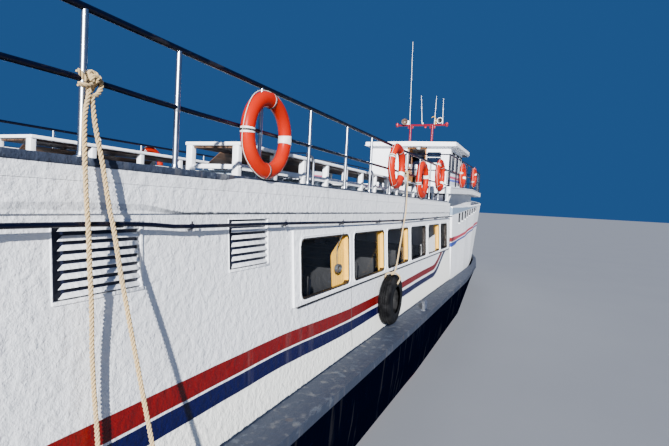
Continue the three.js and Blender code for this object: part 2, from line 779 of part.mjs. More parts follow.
// Rails of the upper deck: post places along X
const POSTS = [
  -15200, -14250, -13300, -12350, -11400, -10500, -9600, -8655, -7930, -6890, -5920, -4880,
  -3930, -2930, -1930, -930, 70, 1070, 2100,
];
const STAYS = [-5920, -3930]; // posts with a bent stay forward of them
const STAY = { z: 3530, bend: 3515, low: 3450, reach: 105, out: 10, r: 13 };
const TUBE = { top: 21, mid: 17, post: 19, sides: 6, thin: 4 };
const MID_FLAT = TUBE.mid * Math.cos(Math.PI / TUBE.thin); // from a tube's axis to its flat
function sideRail() {
  const y = -RAIL_HALF;
  const foot = TOE_Z + GAP;
  const posts = POSTS.map((x) => bar([x, y, foot], [x, y, RAIL_TOP_Z], TUBE.post, TUBE.thin));
  const [aft, fore] = [POSTS[0], POSTS.at(-1)];
  const top = bar([aft, y, RAIL_TOP_Z], [fore + 20, y, RAIL_TOP_Z], TUBE.top, TUBE.sides);
  const mid = bar([aft, y, RAIL_MID_Z], [fore, y, RAIL_MID_Z], TUBE.mid, TUBE.thin);
  const stays = STAYS.map((x) => {
    const { z, bend, low, reach, out, r } = STAY;
    const path = [
      [x, y, z],
      [x + reach * 0.6, y - out * 0.4, bend],
      [x + reach - 5, y - out * 0.8, low],
      [x + reach, y - out, foot],
    ];
    return sweep(path, r, TUBE.sides, [0, 1, 0]);
  });
  return join([...posts, top, mid, ...stays]);
}
for (const side of sides) {
  place(`rail_${side.name}`, side.turn(sideRail()), paint.darkRail());
}

function aftRail() {
  const x = UPPER_AFT + 40;
  const half = RAIL_HALF - 60;
  const ys = [-half, -half / 2, 0, half / 2, half];
  const posts = ys.map((y) => bar([x, y, TOE_Z + GAP], [x, y, RAIL_TOP_Z], TUBE.post, TUBE.thin));
  const rails = [
    bar([x, -half, RAIL_TOP_Z], [x, half, RAIL_TOP_Z], TUBE.top, TUBE.sides),
    bar([x, -half, RAIL_MID_Z], [x, half, RAIL_MID_Z], TUBE.mid, TUBE.thin),
  ];
  return join([...posts, ...rails]);
}
place("rail_aft", aftRail(), paint.darkRail());

// Bridge rail: round the sides and front of the bridge deck, and its aft edge
const BRIDGE_POSTS = [2280, 3700, 5100, 6500, 7900, 9200, 10500, 11800];
const BRIDGE_CORNER = [12450, 1990]; // the rail's front corner
const GATE = 1500; // half-width of the way through the rail's aft end
const bridgeEdge = (x) => at(BRIDGE, x, 1) - 70;
const bridgeTop = (x) => at(BRIDGE, x, 2);
const bridgeLine = (x) => at(BRIDGE_POSTS.map((post) => [post, bridgeEdge(post)]), x, 1);
function bridgeRail() {
  const line = (height) => {
    const side = BRIDGE_POSTS.map((x) => [x, bridgeEdge(x), bridgeTop(x) + height]);
    const front = [...BRIDGE_CORNER, BRIDGE_Z + height];
    const half = [...side, front];
    const other = half.map(([x, y, z]) => [x, -y, z]).reverse();
    return [...half, ...other];
  };
  const post = ([x, y]) => {
    const z = bridgeTop(x) + GAP + 1;
    return bar([x, y, z], [x, y, bridgeTop(x) + BRIDGE_RAIL], TUBE.post, TUBE.thin);
  };
  const [frontX, frontY] = BRIDGE_CORNER;
  const aftX = BRIDGE_POSTS[0];
  const side = BRIDGE_POSTS.map((x) => [x, bridgeEdge(x)]);
  const feet = [...side, BRIDGE_CORNER, [frontX, frontY / 3], [aftX, GATE]];
  const posts = feet.flatMap(([x, y]) => [post([x, -y]), post([x, y])]);
  const ends = [-1, 1].flatMap((s) =>
    [BRIDGE_RAIL, BRIDGE_RAIL / 2].map((height) => {
      const z = bridgeTop(aftX) + height;
      return bar([aftX, s * bridgeEdge(aftX), z], [aftX, s * GATE, z], TUBE.mid, TUBE.thin);
    }),
  );
  return join([
    sweep(line(BRIDGE_RAIL), TUBE.top, TUBE.sides, [0, 0, 1]),
    sweep(line(BRIDGE_RAIL / 2), TUBE.mid, TUBE.thin, [0, 0, 1]),
    ...posts,
    ...ends,
  ]);
}
place("bridge_rail", bridgeRail(), paint.darkRail());

// Grab pipe along the cabin side, on small brackets; its height wanders as it is bent
const PIPE = { off: 75, r: 15, foot: 9 };
const PIPE_LINE = [
  [-13300, 2868],
  [-9150, 2866],
  [-8360, 2856],
  [-7950, 2833],
  [-6620, 2826],
  [-5000, 2808],
  [-3660, 2800],
  [-2430, 2796],
  [-730, 2804],
  [1030, 2818],
  [2380, 2824],
];
const PIPE_FEET = [
  -13000, -11500, -10200, -9300, -7900, -6600, -5200, -3800, -2400, -1000, 400, 1800,
];
const wallY = (z) => -CABIN_HALF + (z - DECK_Z) * Math.tan(LEAN);
function pipeZ(x) {
  const next = PIPE_LINE.findIndex(([at]) => at >= x);
  const [[x0, z0], [x1, z1]] = [PIPE_LINE[next - 1], PIPE_LINE[next]];
  return z0 + ((z1 - z0) * (x - x0)) / (x1 - x0);
}
function grabPipe() {
  const line = PIPE_LINE.map(([x, z]) => [x, wallY(z) - PIPE.off, z]);
  const feet = PIPE_FEET.map((x) => {
    const z = pipeZ(x);
    return bar([x, wallY(z) - PIPE.off, z], [x, wallY(z) - 1, z], PIPE.foot, TUBE.sides);
  });
  return join([sweep(line, PIPE.r, 8, [0, 0, 1]), ...feet]);
}
for (const side of sides) {
  place(`grab_pipe_${side.name}`, side.turn(grabPipe()), paint.darkRail());
}

// Passenger seats: rows on a common plinth, facing forward
const SEATS = { first: -6900, pitch: 850, rows: 10, inner: 350, outer: 2450 };
const SEAT_LEVEL = { plinth: DECK_Z + 80, pan: DECK_Z + 340, top: DECK_Z + 450, back: DECK_Z + 1080 };
const SEAT_SIZE = { deep: 480, back: 90, in: 400 };
function seatRows() {
  const { first, pitch, rows, inner, outer } = SEATS;
  const { plinth, pan, top, back } = SEAT_LEVEL;
  const { deep } = SEAT_SIZE;
  const inset = SEAT_SIZE.in;
  const base = box(
    [first, inset - outer - 100, DECK_Z + GAP],
    [first + pitch * (rows - 1) + deep, 100 - inner - inset, plinth],
  );
  const row = (x) =>
    join([
      box([x + 60, inset - outer, plinth - OVERLAP], [x + deep - 80, -inner - inset, pan]),
      box([x, -outer, pan - OVERLAP], [x + deep, -inner, top]),
      box([x - SEAT_SIZE.back, -outer, pan - OVERLAP], [x + OVERLAP, -inner, back]),
    ]);
  const all = Array.from({ length: rows }, (_, i) => row(first + i * pitch));
  return join([base, ...all]);
}
for (const side of sides) {
  place(`cabin_seats_${side.name}`, side.turn(seatRows()), paint.seat());
}

// Benches on the upper deck: name, first x, last x, starboard y, port y
const BENCHES = [
  ["bench_starboard", -6750, 700, -2390, -1790],
  ["bench_centre", -7300, -1500, -300, 300],
  ["bench_port", -6750, 700, 1790, 2390],
];
const BENCH = { top: 3560, slab: 70, leg: 70, inset: 15, pitch: 680, rung: 3300, tall: 60 };
function bench([, x0, x1, y0, y1]) {
  const count = Math.round((x1 - x0 - BENCH.leg) / BENCH.pitch);
  const step = (x1 - x0 - BENCH.leg) / count;
  const slab = box([x0, y0, BENCH.top - BENCH.slab], [x1, y1, BENCH.top]);
  const legs = Array.from({ length: count + 1 }, (_, i) => x0 + i * step).flatMap((x) =>
    [y0 + BENCH.inset, y1 - BENCH.inset - BENCH.leg].map((y) =>
      box(
        [x, y, UPPER_Z + GAP],
        [x + BENCH.leg, y + BENCH.leg, BENCH.top - BENCH.slab + OVERLAP],
      ),
    ),
  );
  const rungY = y0 + BENCH.inset * 2;
  const rung = box(
    [x0 + 10, rungY, BENCH.rung],
    [x1 - 10, rungY + BENCH.leg / 2, BENCH.rung + BENCH.tall],
  );
  return join([slab, ...legs, rung]);
}
for (const row of BENCHES) {
  place(row[0], bench(row), paint.white());
}

// Wheelhouse: four walls, glass, roof, door and controls
const HOUSE_Z = BRIDGE_Z + GAP;
const HOUSE_DOOR = { from: -610, to: 65, head: 5335, sill: BRIDGE_Z + 90 };
const HOUSE_HINGE = {
  x: HOUSE_AFT + HOUSE_WALL + HINGE.out,
  y: HOUSE_DOOR.to + HINGE.side,
  levels: [4300, 5100],
};
const AFT_PANE = { from: -1230, to: -690, low: 4800, high: 5200 };
const HOUSE_CORNER = 50; // of a pane's corner
function houseAft() {
  const door = rectangle(HOUSE_DOOR.from, HOUSE_DOOR.sill, HOUSE_DOOR.to, HOUSE_DOOR.head);
  const pane = rounded(AFT_PANE.from, AFT_PANE.low, AFT_PANE.to, AFT_PANE.high, HOUSE_CORNER);
  const wall = crossPanel(
    rectangle(-HOUSE_HALF, HOUSE_Z, HOUSE_HALF, HOUSE_TOP_Z),
    [door, pane],
    HOUSE_AFT,
    HOUSE_WALL,
  );
  const near = HOUSE_AFT + HOUSE_WALL - OVERLAP;
  const { x, y } = HOUSE_HINGE;
  const lugs = HOUSE_HINGE.levels.flatMap((z) => [
    bar([x, y, z - HINGE.tall], [x, y, z], HINGE.r),
    box([near, y - HINGE.lug, z - HINGE.tall], [x, y + HINGE.lug, z]),
  ]);
  return join([wall, ...lugs]);
}
place("wheelhouse_aft_wall", houseAft(), paint.white());

// The wheelhouse door stands open into the house, at right angles to its wall
const HOUSE_LEAF = { width: 690, thick: 35, lap: 20, stile: 130, paneLow: 4650, paneHigh: 5180 };
function houseDoor() {
  const { width, thick, lap, stile, paneLow, paneHigh } = HOUSE_LEAF;
  const { x, y } = HOUSE_HINGE;
  const from = x + 30;
  const leaf = sidePanel(
    rectangle(from, HOUSE_DOOR.sill - lap, from + width, HOUSE_DOOR.head + lap),
    [rounded(from + stile, paneLow, from + width - stile, paneHigh, HOUSE_CORNER)],
    y - HINGE.leaf,
    thick,
  );
  const knuckles = HOUSE_HINGE.levels.flatMap((z) => [
    bar([x, y, z + GAP], [x, y, z + HINGE.tall], HINGE.r),
    box([x, y - HINGE.leaf, z + GAP], [x + 60, y + HINGE.leaf, z + HINGE.tall]),
  ]);
  return join([leaf, ...knuckles]);
}
place("wheelhouse_door", houseDoor(), paint.wood());

const PANE = { low: 4480, high: 5260, width: 800, corner: 60, sill: 60 };
const HOUSE_RAKE = 240; // the front leans forward at the top
function houseSide() {
  const shape = [
    [HOUSE_AFT + HOUSE_WALL + GAP, HOUSE_Z],
    [HOUSE_FORE, HOUSE_Z],
    [HOUSE_FORE, PANE.low - PANE.sill],
    [HOUSE_FORE + HOUSE_RAKE, HOUSE_TOP_Z],
    [HOUSE_AFT + HOUSE_WALL + GAP, HOUSE_TOP_Z],
  ];
  const panes = [HOUSE_AFT + 350, HOUSE_AFT + 1300].map((x) =>
    rounded(x, PANE.low, x + PANE.width, PANE.high, PANE.corner),
  );
  const fore = outline([
    [HOUSE_FORE - 330, PANE.low],
    [HOUSE_FORE - 60, PANE.low],
    [HOUSE_FORE + 130, PANE.high],
    [HOUSE_FORE - 330, PANE.high],
  ]);
  return sidePanel(outline(shape), [...panes, fore], -HOUSE_HALF, HOUSE_WALL);
}
for (const side of sides) {
  place(`wheelhouse_side_${side.name}`, side.turn(houseSide()), paint.white());
}

// The front wall is upright below the windows and raked above them
const ROOF = { aft: 8250, fore: 12250, half: 1850, thick: 150, crown: 30 };
const FRONT_HALF = HOUSE_HALF - HOUSE_WALL - GAP;
const RAKE_FOOT = PANE.low - PANE.sill;
const RAKE_ANGLE = Math.atan(HOUSE_RAKE / (HOUSE_TOP_Z - RAKE_FOOT));
const FRONT_PANES = { pitch: 1010, half: 460, foot: 70, head: 160 };
function raked(body) {
  return crosswise(body)
    .rotate([0, THREE.MathUtils.radToDeg(RAKE_ANGLE), 0])
    .translate([HOUSE_FORE - HOUSE_WALL, 0, RAKE_FOOT]);
}

function houseFront() {
  const below = box(
    [HOUSE_FORE - HOUSE_WALL, -FRONT_HALF, HOUSE_Z],
    [HOUSE_FORE, FRONT_HALF, RAKE_FOOT + 2 * OVERLAP],
  );
  const rise = (HOUSE_TOP_Z - RAKE_FOOT) / Math.cos(RAKE_ANGLE) - 15;
  const { pitch, half, foot, head } = FRONT_PANES;
  const panes = [-pitch, 0, pitch].map((y) =>
    rounded(y - half, foot, y + half, rise - head, HOUSE_CORNER),
  );
  const outer = rectangle(-FRONT_HALF, -2 * OVERLAP, FRONT_HALF, rise);
  const upper = panel(outer, panes, HOUSE_WALL - 2);
  const above = box(
    [HOUSE_FORE - HOUSE_WALL, -FRONT_HALF, HOUSE_TOP_Z],
    [HOUSE_FORE + HOUSE_RAKE, FRONT_HALF, HOUSE_TOP_Z + ROOF.thick],
  );
  return cut(join([below, raked(upper)]), [above]);
}
place("wheelhouse_front", houseFront(), paint.white());

const GLASS = 8; // thickness of a pane
function houseGlass() {
  const half = FRONT_HALF - 20;
  const glass = panel(rectangle(-half, 20, half, 900), [], GLASS);
  return raked(glass.translate([0, 0, -GLASS - GAP]));
}
place("wheelhouse_glass", houseGlass(), paint.glass());

function houseRoof() {
  const section = (x, inset) => {
    const half = ROOF.half - inset;
    const z = HOUSE_TOP_Z + GAP;
    return [
      [x, -half, z],
      [x, half, z],
      [x, half, z + ROOF.thick],
      [x, 0, z + ROOF.thick + ROOF.crown],
      [x, -half, z + ROOF.thick],
    ];
  };
  return loft([
    section(ROOF.aft, 20),
    section(ROOF.aft + 300, 0),
    section(ROOF.fore - 500, 0),
    section(ROOF.fore, 120),
  ]);
}
place("wheelhouse_roof", houseRoof(), paint.white());

// Helm: console, wheel and seat
const HELM = { x: 10310, z: 4500, r: 330, rim: 16, spoke: 11, grip: 70, hub: 50, boss: 35 };
const DESK = { aft: 110, ridge: 340, aftZ: 4560, ridgeZ: 4700, foreZ: 4620, half: 1100 };
function helmConsole() {
  const aft = HELM.x + DESK.aft;
  const fore = HOUSE_FORE - 120;
  const profile = outline([
    [aft, HOUSE_Z],
    [fore, HOUSE_Z],
    [fore, DESK.foreZ],
    [HELM.x + DESK.ridge, DESK.ridgeZ],
    [aft, DESK.aftZ],
  ]);
  const desk = sidePanel(profile, [], -DESK.half, DESK.half * 2);
  const boss = bar([HELM.x + HELM.boss, 0, HELM.z], [aft + 40, 0, HELM.z], 45, ROUND);
  return join([desk, boss]);
}
place("helm_console", helmConsole(), paint.grey());

function steeringWheel() {
  const rim = new THREE.TorusGeometry(HELM.r, HELM.rim, 4, 16);
  rim.rotateY(Math.PI / 2);
  const spokes = Array.from({ length: 6 }, (_, i) => {
    const a = (i * Math.PI) / 3;
    const r = HELM.r + HELM.grip;
    return bar([0, 0, 0], [0, Math.cos(a) * r, Math.sin(a) * r], HELM.spoke, 4);
  });
  const hub = bar([-HELM.boss, 0, 0], [HELM.boss - GAP, 0, 0], HELM.hub, ROUND);
  return moved(join([solid(rim), hub, ...spokes]), HELM.x, 0, HELM.z);
}
place("steering_wheel", steeringWheel(), paint.wood());

const CHAIR = { x: 9750, half: 230, pan: 4350, top: 4440, back: 4950, stem: 60, foot: 220 };
function helmSeat() {
  const { x, half, pan, top, back, stem, foot } = CHAIR;
  return join([
    bar([x, 0, HOUSE_Z], [x, 0, pan + OVERLAP], stem),
    box([x - half, -half, pan], [x + half, half, top]),
    box([x - half - 30, -half, pan], [x - half + 60, half, back]),
    bar([x, 0, HOUSE_Z], [x, 0, HOUSE_Z + 20], foot, 12),
  ]);
}
place("helm_seat", helmSeat(), paint.seat());

// Signal mast: two posts, a crossbar with lamps, and four whip aerials
const MAST = { x: 10100, half: 475, bar: 6540, reach: 1080, r: 50, barR: 42, base: 90 };
const LAMP = { r: 65, low: 80, high: 110 };
const AERIAL_R = 14;

// Aerials: y, how far the tip stands to port, height over the crossbar
const AERIALS = [
  [520, 80, 3600],
  [-20, 100, 1270],
  [-550, -30, 1220],
  [-900, 20, 1130],
];
function mast() {
  const top = HOUSE_TOP_Z + ROOF.thick + GAP * 2;
  const crown = (y) => top + ROOF.crown * (1 - Math.abs(y) / ROOF.half);
  const foot = crown(MAST.half - MAST.base);
  const posts = [-MAST.half, MAST.half].flatMap((y) => [
    bar([MAST.x, y, foot], [MAST.x, y, MAST.bar], MAST.r),
    bar([MAST.x, y, foot], [MAST.x, y, crown(0) + 40], MAST.base),
  ]);
  const cross = bar([MAST.x, -MAST.reach, MAST.bar], [MAST.x, MAST.reach, MAST.bar], MAST.barR);
  const lamps = [-MAST.reach, MAST.reach].map((y) =>
    bar([MAST.x, y, MAST.bar - LAMP.low], [MAST.x, y, MAST.bar + LAMP.high], LAMP.r),
  );
  const whips = AERIALS.map(([y, lean, tall]) =>
    bar([MAST.x, y, MAST.bar], [MAST.x, y + lean, MAST.bar + tall], AERIAL_R, TUBE.sides),
  );
  return join([...posts, cross, ...lamps, ...whips]);
}
place("signal_mast", mast(), paint.red());

// Life rings: name, side, x, z, and the distance out to what each one lies against
const RING = { outer: 372, r: 66, sides: 6 };
const RING_FLAT = RING.r * Math.cos(Math.PI / RING.sides);
const againstBridge = (x) => bridgeLine(x - RING.outer + RING.r / 2) + MID_FLAT;
const RINGS = [
  ["life_ring_1", -1, -6888, 3592, RAIL_HALF + TUBE.post],
  ["life_ring_2", -1, -2842, 3684, RAIL_HALF + TUBE.post],
  ["life_ring_3", -1, -969, 3582, RAIL_HALF + TUBE.post],
  ["life_ring_4", -1, 780, 3794, RAIL_HALF + TUBE.post],
  ["life_ring_5", -1, 4580, 4046, againstBridge(4580)],
  ["life_ring_6", -1, 8220, 4236, bridgeLine(7900) + TUBE.post],
  ["life_ring_port", 1, -2602, 3640, RAIL_HALF + TUBE.post],
];
for (const [name, side, x, z, reach] of RINGS) {
  const ring = new THREE.TorusGeometry(RING.outer - RING.r, RING.r, RING.sides, 16);
  ring.rotateX(Math.PI / 2);
  const y = side * (reach + GAP + RING_FLAT);
  place(name, moved(solid(ring), x, y, z), paint.orange());
}

// Tyre fenders and the ropes that hold them
const TYRE = { outer: 380, inner: 200, half: 95 };
function tyre(x, y, z) {
  const { outer, inner, half } = TYRE;
  const profile = [
    [inner, -half],
    [outer - 50, -half],
    [outer, -half + 45],
    [outer, half - 45],
    [outer - 50, half],
    [inner, half],
    [inner, half - 25],
    [inner + 110, half - 40],
    [inner + 110, -half + 40],
    [inner, -half + 25],
    [inner, -half],
  ];
  return moved(solid(new THREE.LatheGeometry(outline(profile), 16)), x, y, z);
}
const TYRE_FORE = { x: -3440, y: wallY(1230) - TYRE.half - 4, z: 1610 };
const TYRE_AFT = { x: -8580, y: -3240 - TYRE.half - 12, z: 560 }; // hangs below the ledge
place("tyre_fender_fore", tyre(TYRE_FORE.x, TYRE_FORE.y, TYRE_FORE.z), paint.rubber());
place("tyre_fender_aft", tyre(TYRE_AFT.x, TYRE_AFT.y, TYRE_AFT.z), paint.rubber());

// A rope hangs from a hitch on the middle rail, lies on the tyre's outer face and ends in its hole
const SIDES = 8;
const flatOf = (radius) => radius * Math.cos(Math.PI / SIDES);
function hitch(x, radius) {
  const inner = (TUBE.mid + GAP) / Math.cos(Math.PI / 12);
  const ring = new THREE.TorusGeometry(inner + radius, radius, 6, 12);
  ring.rotateY(Math.PI / 2);
  ring.translate(x, -RAIL_HALF, RAIL_MID_Z);
  return solid(ring);
}
const hitchY = (radius) => -RAIL_HALF - TUBE.mid - radius;
function onTyre(tyreAt, x, radius) {
  const y = tyreAt.y - TYRE.half - flatOf(radius) - GAP;
  return [
    [tyreAt.x + x, y, tyreAt.z + 330],
    [tyreAt.x + x, y, tyreAt.z + 172],
    [tyreAt.x + x * 0.78, y, tyreAt.z + 130],
    [tyreAt.x + x * 0.65, y + 90, tyreAt.z + 110],
  ];
}

const THIN = 9;
const ROPE_FORE_X = -1975;
const ROPE_FORE = [
  [ROPE_FORE_X, hitchY(THIN), RAIL_MID_Z],
  [-2012, -2740, 3560],
  [-2400, -2842, 2985],
  [-2585, -2872, 2790],
  [-2876, -2915, 2486],
  [-3200, -2965, 2150],
  [-3300, -3000, 2052],
  [-3372, -3045, 2006],
  ...onTyre(TYRE_FORE, 30, THIN),
];
place(
  "fender_rope_fore",
  join([sweep(ROPE_FORE, THIN, SIDES, [1, 0, 0]), hitch(ROPE_FORE_X, THIN)]),
  paint.rope(),
);

const THICK = 14;
const HITCH_X = -8605;
const ROPES_AFT = [
  [
    [HITCH_X - 5, hitchY(THICK), RAIL_MID_Z],
    [-8673, -2757, 3540],
    [-8707, -2776, 3420],
    [-8723, -2802, 3250],
    [-8732, -2832, 3040],
    [-8738, -2864, 2840],
    [-8722, -2862, 2650],
    [-8702, -2860, 2440],
    [-8690, -2861, 2180],
    [-8674, -2866, 1960],
    [-8655, -2876, 1740],
    [-8645, -2892, 1500],
    [-8642, -2930, 1290],
    [-8650, -3010, 1190],
    [-8662, -3100, LEDGE_Z + flatOf(THICK) + GAP],
    [-8676, -3238, LEDGE_Z + flatOf(THICK) + GAP],
    [-8684, -3290, 1110],
    [-8690, -3345, 1030],
    ...onTyre(TYRE_AFT, -110, THICK),
  ],
  [
    [HITCH_X + 5, hitchY(THICK), RAIL_MID_Z],
    [-8652, -2764, 3500],
    [-8646, -2778, 3405],
    [-8633, -2793, 3297],
    [-8616, -2812, 3176],
    [-8592, -2842, 2952],
    [-8579, -2866, 2835],
    [-8577, -2914, 2640],
    [-8573, -2966, 2442],
    [-8563, -3020, 2220],
    [-8544, -3074, 1969],
    [-8523, -3130, 1709],
    [-8504, -3196, 1420],
    [-8488, -3262, 1190],
    [-8476, -3370, 1030],
    ...onTyre(TYRE_AFT, 110, THICK),
  ],
];
place(
  "fender_ropes_aft",
  join([
    ...ROPES_AFT.map((points) => sweep(points, THICK, SIDES, [1, 0, 0])),
    hitch(HITCH_X, THICK),
  ]),
  paint.rope(),
);

// Stern: low bulwark around the aft deck, with the two posts under the upper deck
const STERN = { x: -16200, fore: -14300, tall: 800, thick: 60, post: -15150, postY: 2560, r: 45 };
const STERN_TIE = { y: 2740, low: 600, high: 680, half: 30 };
function sternBulwark() {
  const { x, fore, tall, thick } = STERN;
  const foot = DECK_Z + GAP;
  const half = at(HULL, x, 1) - 150;
  const wall = (s) => {
    const loop = [
      [x, half],
      [fore, CABIN_HALF - 40],
      [fore, CABIN_HALF - 40 - thick],
      [x + thick, half - thick],
    ].map(([u, v]) => [u, s * v]);
    if (s > 0) loop.reverse();
    return deckPanel(outline(loop), [], foot, tall);
  };
  const transom = box([x, -half + 10, foot], [x + thick + 10, half - 10, foot + tall]);
  const posts = [-STERN.postY, STERN.postY].map((y) =>
    bar([STERN.post, y, foot], [STERN.post, y, ROOF_Z - GAP], STERN.r),
  );
  const ties = [-STERN_TIE.y, STERN.postY].map((y) =>
    box(
      [STERN.post - STERN_TIE.half, y, DECK_Z + STERN_TIE.low],
      [STERN.post + STERN_TIE.half, y + STERN_TIE.y - STERN.postY, DECK_Z + STERN_TIE.high],
    ),
  );
  return join([wall(-1), wall(1), transom, ...posts, ...ties]);
}
place("stern_bulwark", sternBulwark(), paint.white());

// Stairs from the aft deck to the upper deck
const STEPS = { count: 9, thick: 30, lap: 60 };
function stairs() {
  const { x0, x1, y0, y1 } = STAIR;
  const { count, thick, lap } = STEPS;
  const rise = (ROOF_Z - DECK_Z) / count;
  const run = (x1 - x0 - 100) / count;
  const treads = Array.from({ length: count - 1 }, (_, i) => {
    const x = x0 + lap + i * run;
    const z = DECK_Z + (i + 1) * rise;
    return box([x, y0 + 40, z - thick], [x + run + lap, y1 - 40, z]);
  });
  const cheeks = [y0 + 15, y1 - 45].map((y) =>
    sidePanel(
      outline([
        [x0, DECK_Z + GAP],
        [x0 + 220, DECK_Z + GAP],
        [x1 - 40, UPPER_Z],
        [x1 - 180, UPPER_Z],
      ]),
      [],
      y,
      thick,
    ),
  );
  return join([...treads, ...cheeks]);
}
place("aft_stairs", stairs(), paint.grey());

export default root;
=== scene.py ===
"""Finishes, fittings, ropes and stage of the passenger ferry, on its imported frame."""

import math
import bmesh
import bpy
from mathutils import Matrix, Vector


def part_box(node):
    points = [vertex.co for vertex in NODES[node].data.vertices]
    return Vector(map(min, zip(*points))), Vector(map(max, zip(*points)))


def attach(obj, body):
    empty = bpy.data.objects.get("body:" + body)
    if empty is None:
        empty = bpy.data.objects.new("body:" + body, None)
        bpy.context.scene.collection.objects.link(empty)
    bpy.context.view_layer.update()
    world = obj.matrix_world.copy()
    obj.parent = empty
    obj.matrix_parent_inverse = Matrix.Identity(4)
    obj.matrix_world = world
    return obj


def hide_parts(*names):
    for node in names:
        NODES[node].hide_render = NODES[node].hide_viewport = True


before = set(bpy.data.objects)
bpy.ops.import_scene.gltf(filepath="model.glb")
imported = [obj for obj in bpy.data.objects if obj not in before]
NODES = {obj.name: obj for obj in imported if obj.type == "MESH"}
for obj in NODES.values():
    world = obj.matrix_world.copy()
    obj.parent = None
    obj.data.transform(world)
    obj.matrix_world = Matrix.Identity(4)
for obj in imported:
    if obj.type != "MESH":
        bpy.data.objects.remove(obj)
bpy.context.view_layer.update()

bl_info = {
    "name": "Passenger ferry",
    "version": (1, 0, 0),
    "blender": (4, 5, 0),
    "location": "View3D > Sidebar > Ferry",
    "description": "Builds the fittings and finishes of a passenger ferry",
    "category": "Object",
}

TURN = 2 * math.pi
LEAN = math.radians(4)
WALL_FOOT = Vector((0, -2.88, 1.05))  # the cabin side leans in about this line
LEANT = (
    Matrix.Translation(WALL_FOOT)
    @ Matrix.Rotation(-LEAN, 4, "X")
    @ Matrix.Translation(-WALL_FOOT)
)
PORT = Matrix.Diagonal((1, -1, 1, 1))
EYE = (-10.5, -4.99, 3.05)  # where the photograph was taken from
RAIL_Y = -2.69
RAIL_TOP = 4.015
RAIL_MID = 3.628
TOE = 3.2155
DECK_TOP = 3.1705  # just over the upper deck
MID_TUBE = 0.017  # radius of the middle rails
WINDOW_LOW, WINDOW_HIGH, WINDOW_CORNER = 2.042, 2.655, 0.07
BRIDGE_RAIL, BRIDGE_MID, BRIDGE_INSET = 0.84, 0.42, 0.07
HOUSE_AFT = 8.5  # the wheelhouse's aft wall
POSTS = (
    -15.2, -14.25, -13.3, -12.35, -11.4, -10.5, -9.6, -8.655, -7.93, -6.89, -5.92, -4.88,
    -3.93, -2.93, -1.93, -0.93, 0.07, 1.07, 2.1,
)
MID_RAIL = (
    (-15.2, 3.628), (-9.2, 3.63), (-8.73, 3.636), (-8.47, 3.636), (-8.2, 3.629), (-7.7, 3.626),
    (2.1, 3.626),
)
PIPE = (
    (-13.3, 2.868), (-9.15, 2.866), (-8.36, 2.856), (-7.95, 2.833), (-6.62, 2.826), (-5.0, 2.808),
    (-3.66, 2.8), (-2.43, 2.796), (-0.73, 2.804), (1.03, 2.818), (2.38, 2.824),
)
WINDOWS = ((-6.19, -4.88), (-4.7, -3.41), (-3.235, -1.945), (-1.755, -0.5), (-0.27, 0.915), (1.08, 1.945))
BRIDGE = ((2.2, 2.78, 3.6), (8.2, 2.56, 3.78), (12.0, 2.42, 3.78), (12.6, 2.12, 3.78))
BRIDGE_POSTS = (2.28, 3.7, 5.1, 6.5, 7.9, 9.2, 10.5, 11.8)
BULWARK_TOP = (
    (2.6, 2.8, 3.07), (5, 2.835, 3.12), (7, 2.845, 3.18), (9.1, 2.77, 3.24), (11.3, 2.5, 3.31),
    (13.5, 2.02, 3.39), (15.2, 1.38, 3.46), (16.4, 0.66, 3.52), (16.9, 0.04, 3.55),
)


def wall_y(z):
    """Where the starboard cabin side stands at a height."""
    return WALL_FOOT.y + (z - WALL_FOOT.z) * math.tan(LEAN)


def along(table, x, column):
    """A column of a table, read between its rows."""
    if x <= table[0][0]:
        return table[0][column]
    for a, b in zip(table, table[1:]):
        if x <= b[0]:
            return a[column] + (b[column] - a[column]) * (x - a[0]) / (b[0] - a[0])
    return table[-1][column]


# Sizes and colours that a user may change


def colour_property(name, text, rgb):
    return bpy.props.FloatVectorProperty(
        name=name, description=text, default=rgb, size=3, min=0, max=1, subtype="COLOR"
    )


def length_property(name, text, metres):
    return bpy.props.FloatProperty(
        name=name, description=text, default=metres, min=0.001, subtype="DISTANCE", unit="LENGTH"
    )


class FerryColours(bpy.types.PropertyGroup):
    white: colour_property("White", "Paint of the cabin and decks' edges", (0.76, 0.775, 0.8))
    cream: colour_property("Cream", "Older paint below the stripes", (0.9, 0.9, 0.84))
    navy: colour_property("Navy", "Gloss paint of the hull", (0.0002, 0.0008, 0.005))
    red: colour_property("Red", "Upper stripe", (0.13, 0.0001, 0.0003))
    blue: colour_property("Blue", "Lower stripe", (0.0001, 0.0005, 0.035))
    deck: colour_property("Deck", "Matt paint of the decks", (0.02, 0.028, 0.05))
    rail: colour_property("Rail", "Paint of the rails", (0.0012, 0.0018, 0.009))
    ring: colour_property("Ring", "Shell of the life rings", (0.34, 0.008, 0.0004))
    rope: colour_property("Rope", "Laid fender rope", (0.5, 0.35, 0.16))
    curtain: colour_property("Curtain", "Cabin curtains", (0.78, 0.42, 0.03))
    mast: colour_property("Mast", "Gloss paint of the mast", (0.16, 0.0015, 0.013))


class FerrySizes(bpy.types.PropertyGroup):
    thick_rope: length_property("Thick rope", "Radius of the aft fender ropes", 0.014)
    thin_rope: length_property("Thin rope", "Radius of the fore fender rope", 0.013)
    rail_tube: length_property("Rail tube", "Radius of the top rail", 0.021)
    post_tube: length_property("Post tube", "Radius of the rail posts", 0.019)
    curtain_width: length_property("Curtain", "Width of a drawn curtain", 0.35)
    slats: bpy.props.IntProperty(
        name="Slats", description="Slats in the aft louvre", default=8, min=3, max=20
    )


# Modelling helpers


def rest():
    """Object mode, with nothing selected."""
    active = bpy.context.view_layer.objects.active
    if active and active.mode != "OBJECT":
        bpy.ops.object.mode_set(mode="OBJECT")
    bpy.ops.object.select_all(action="DESELECT")


def hold(*objects):
    """Selects only these objects; the first is active."""
    rest()
    for o in objects:
        o.select_set(True)
    bpy.context.view_layer.objects.active = objects[0]
    return objects[0]


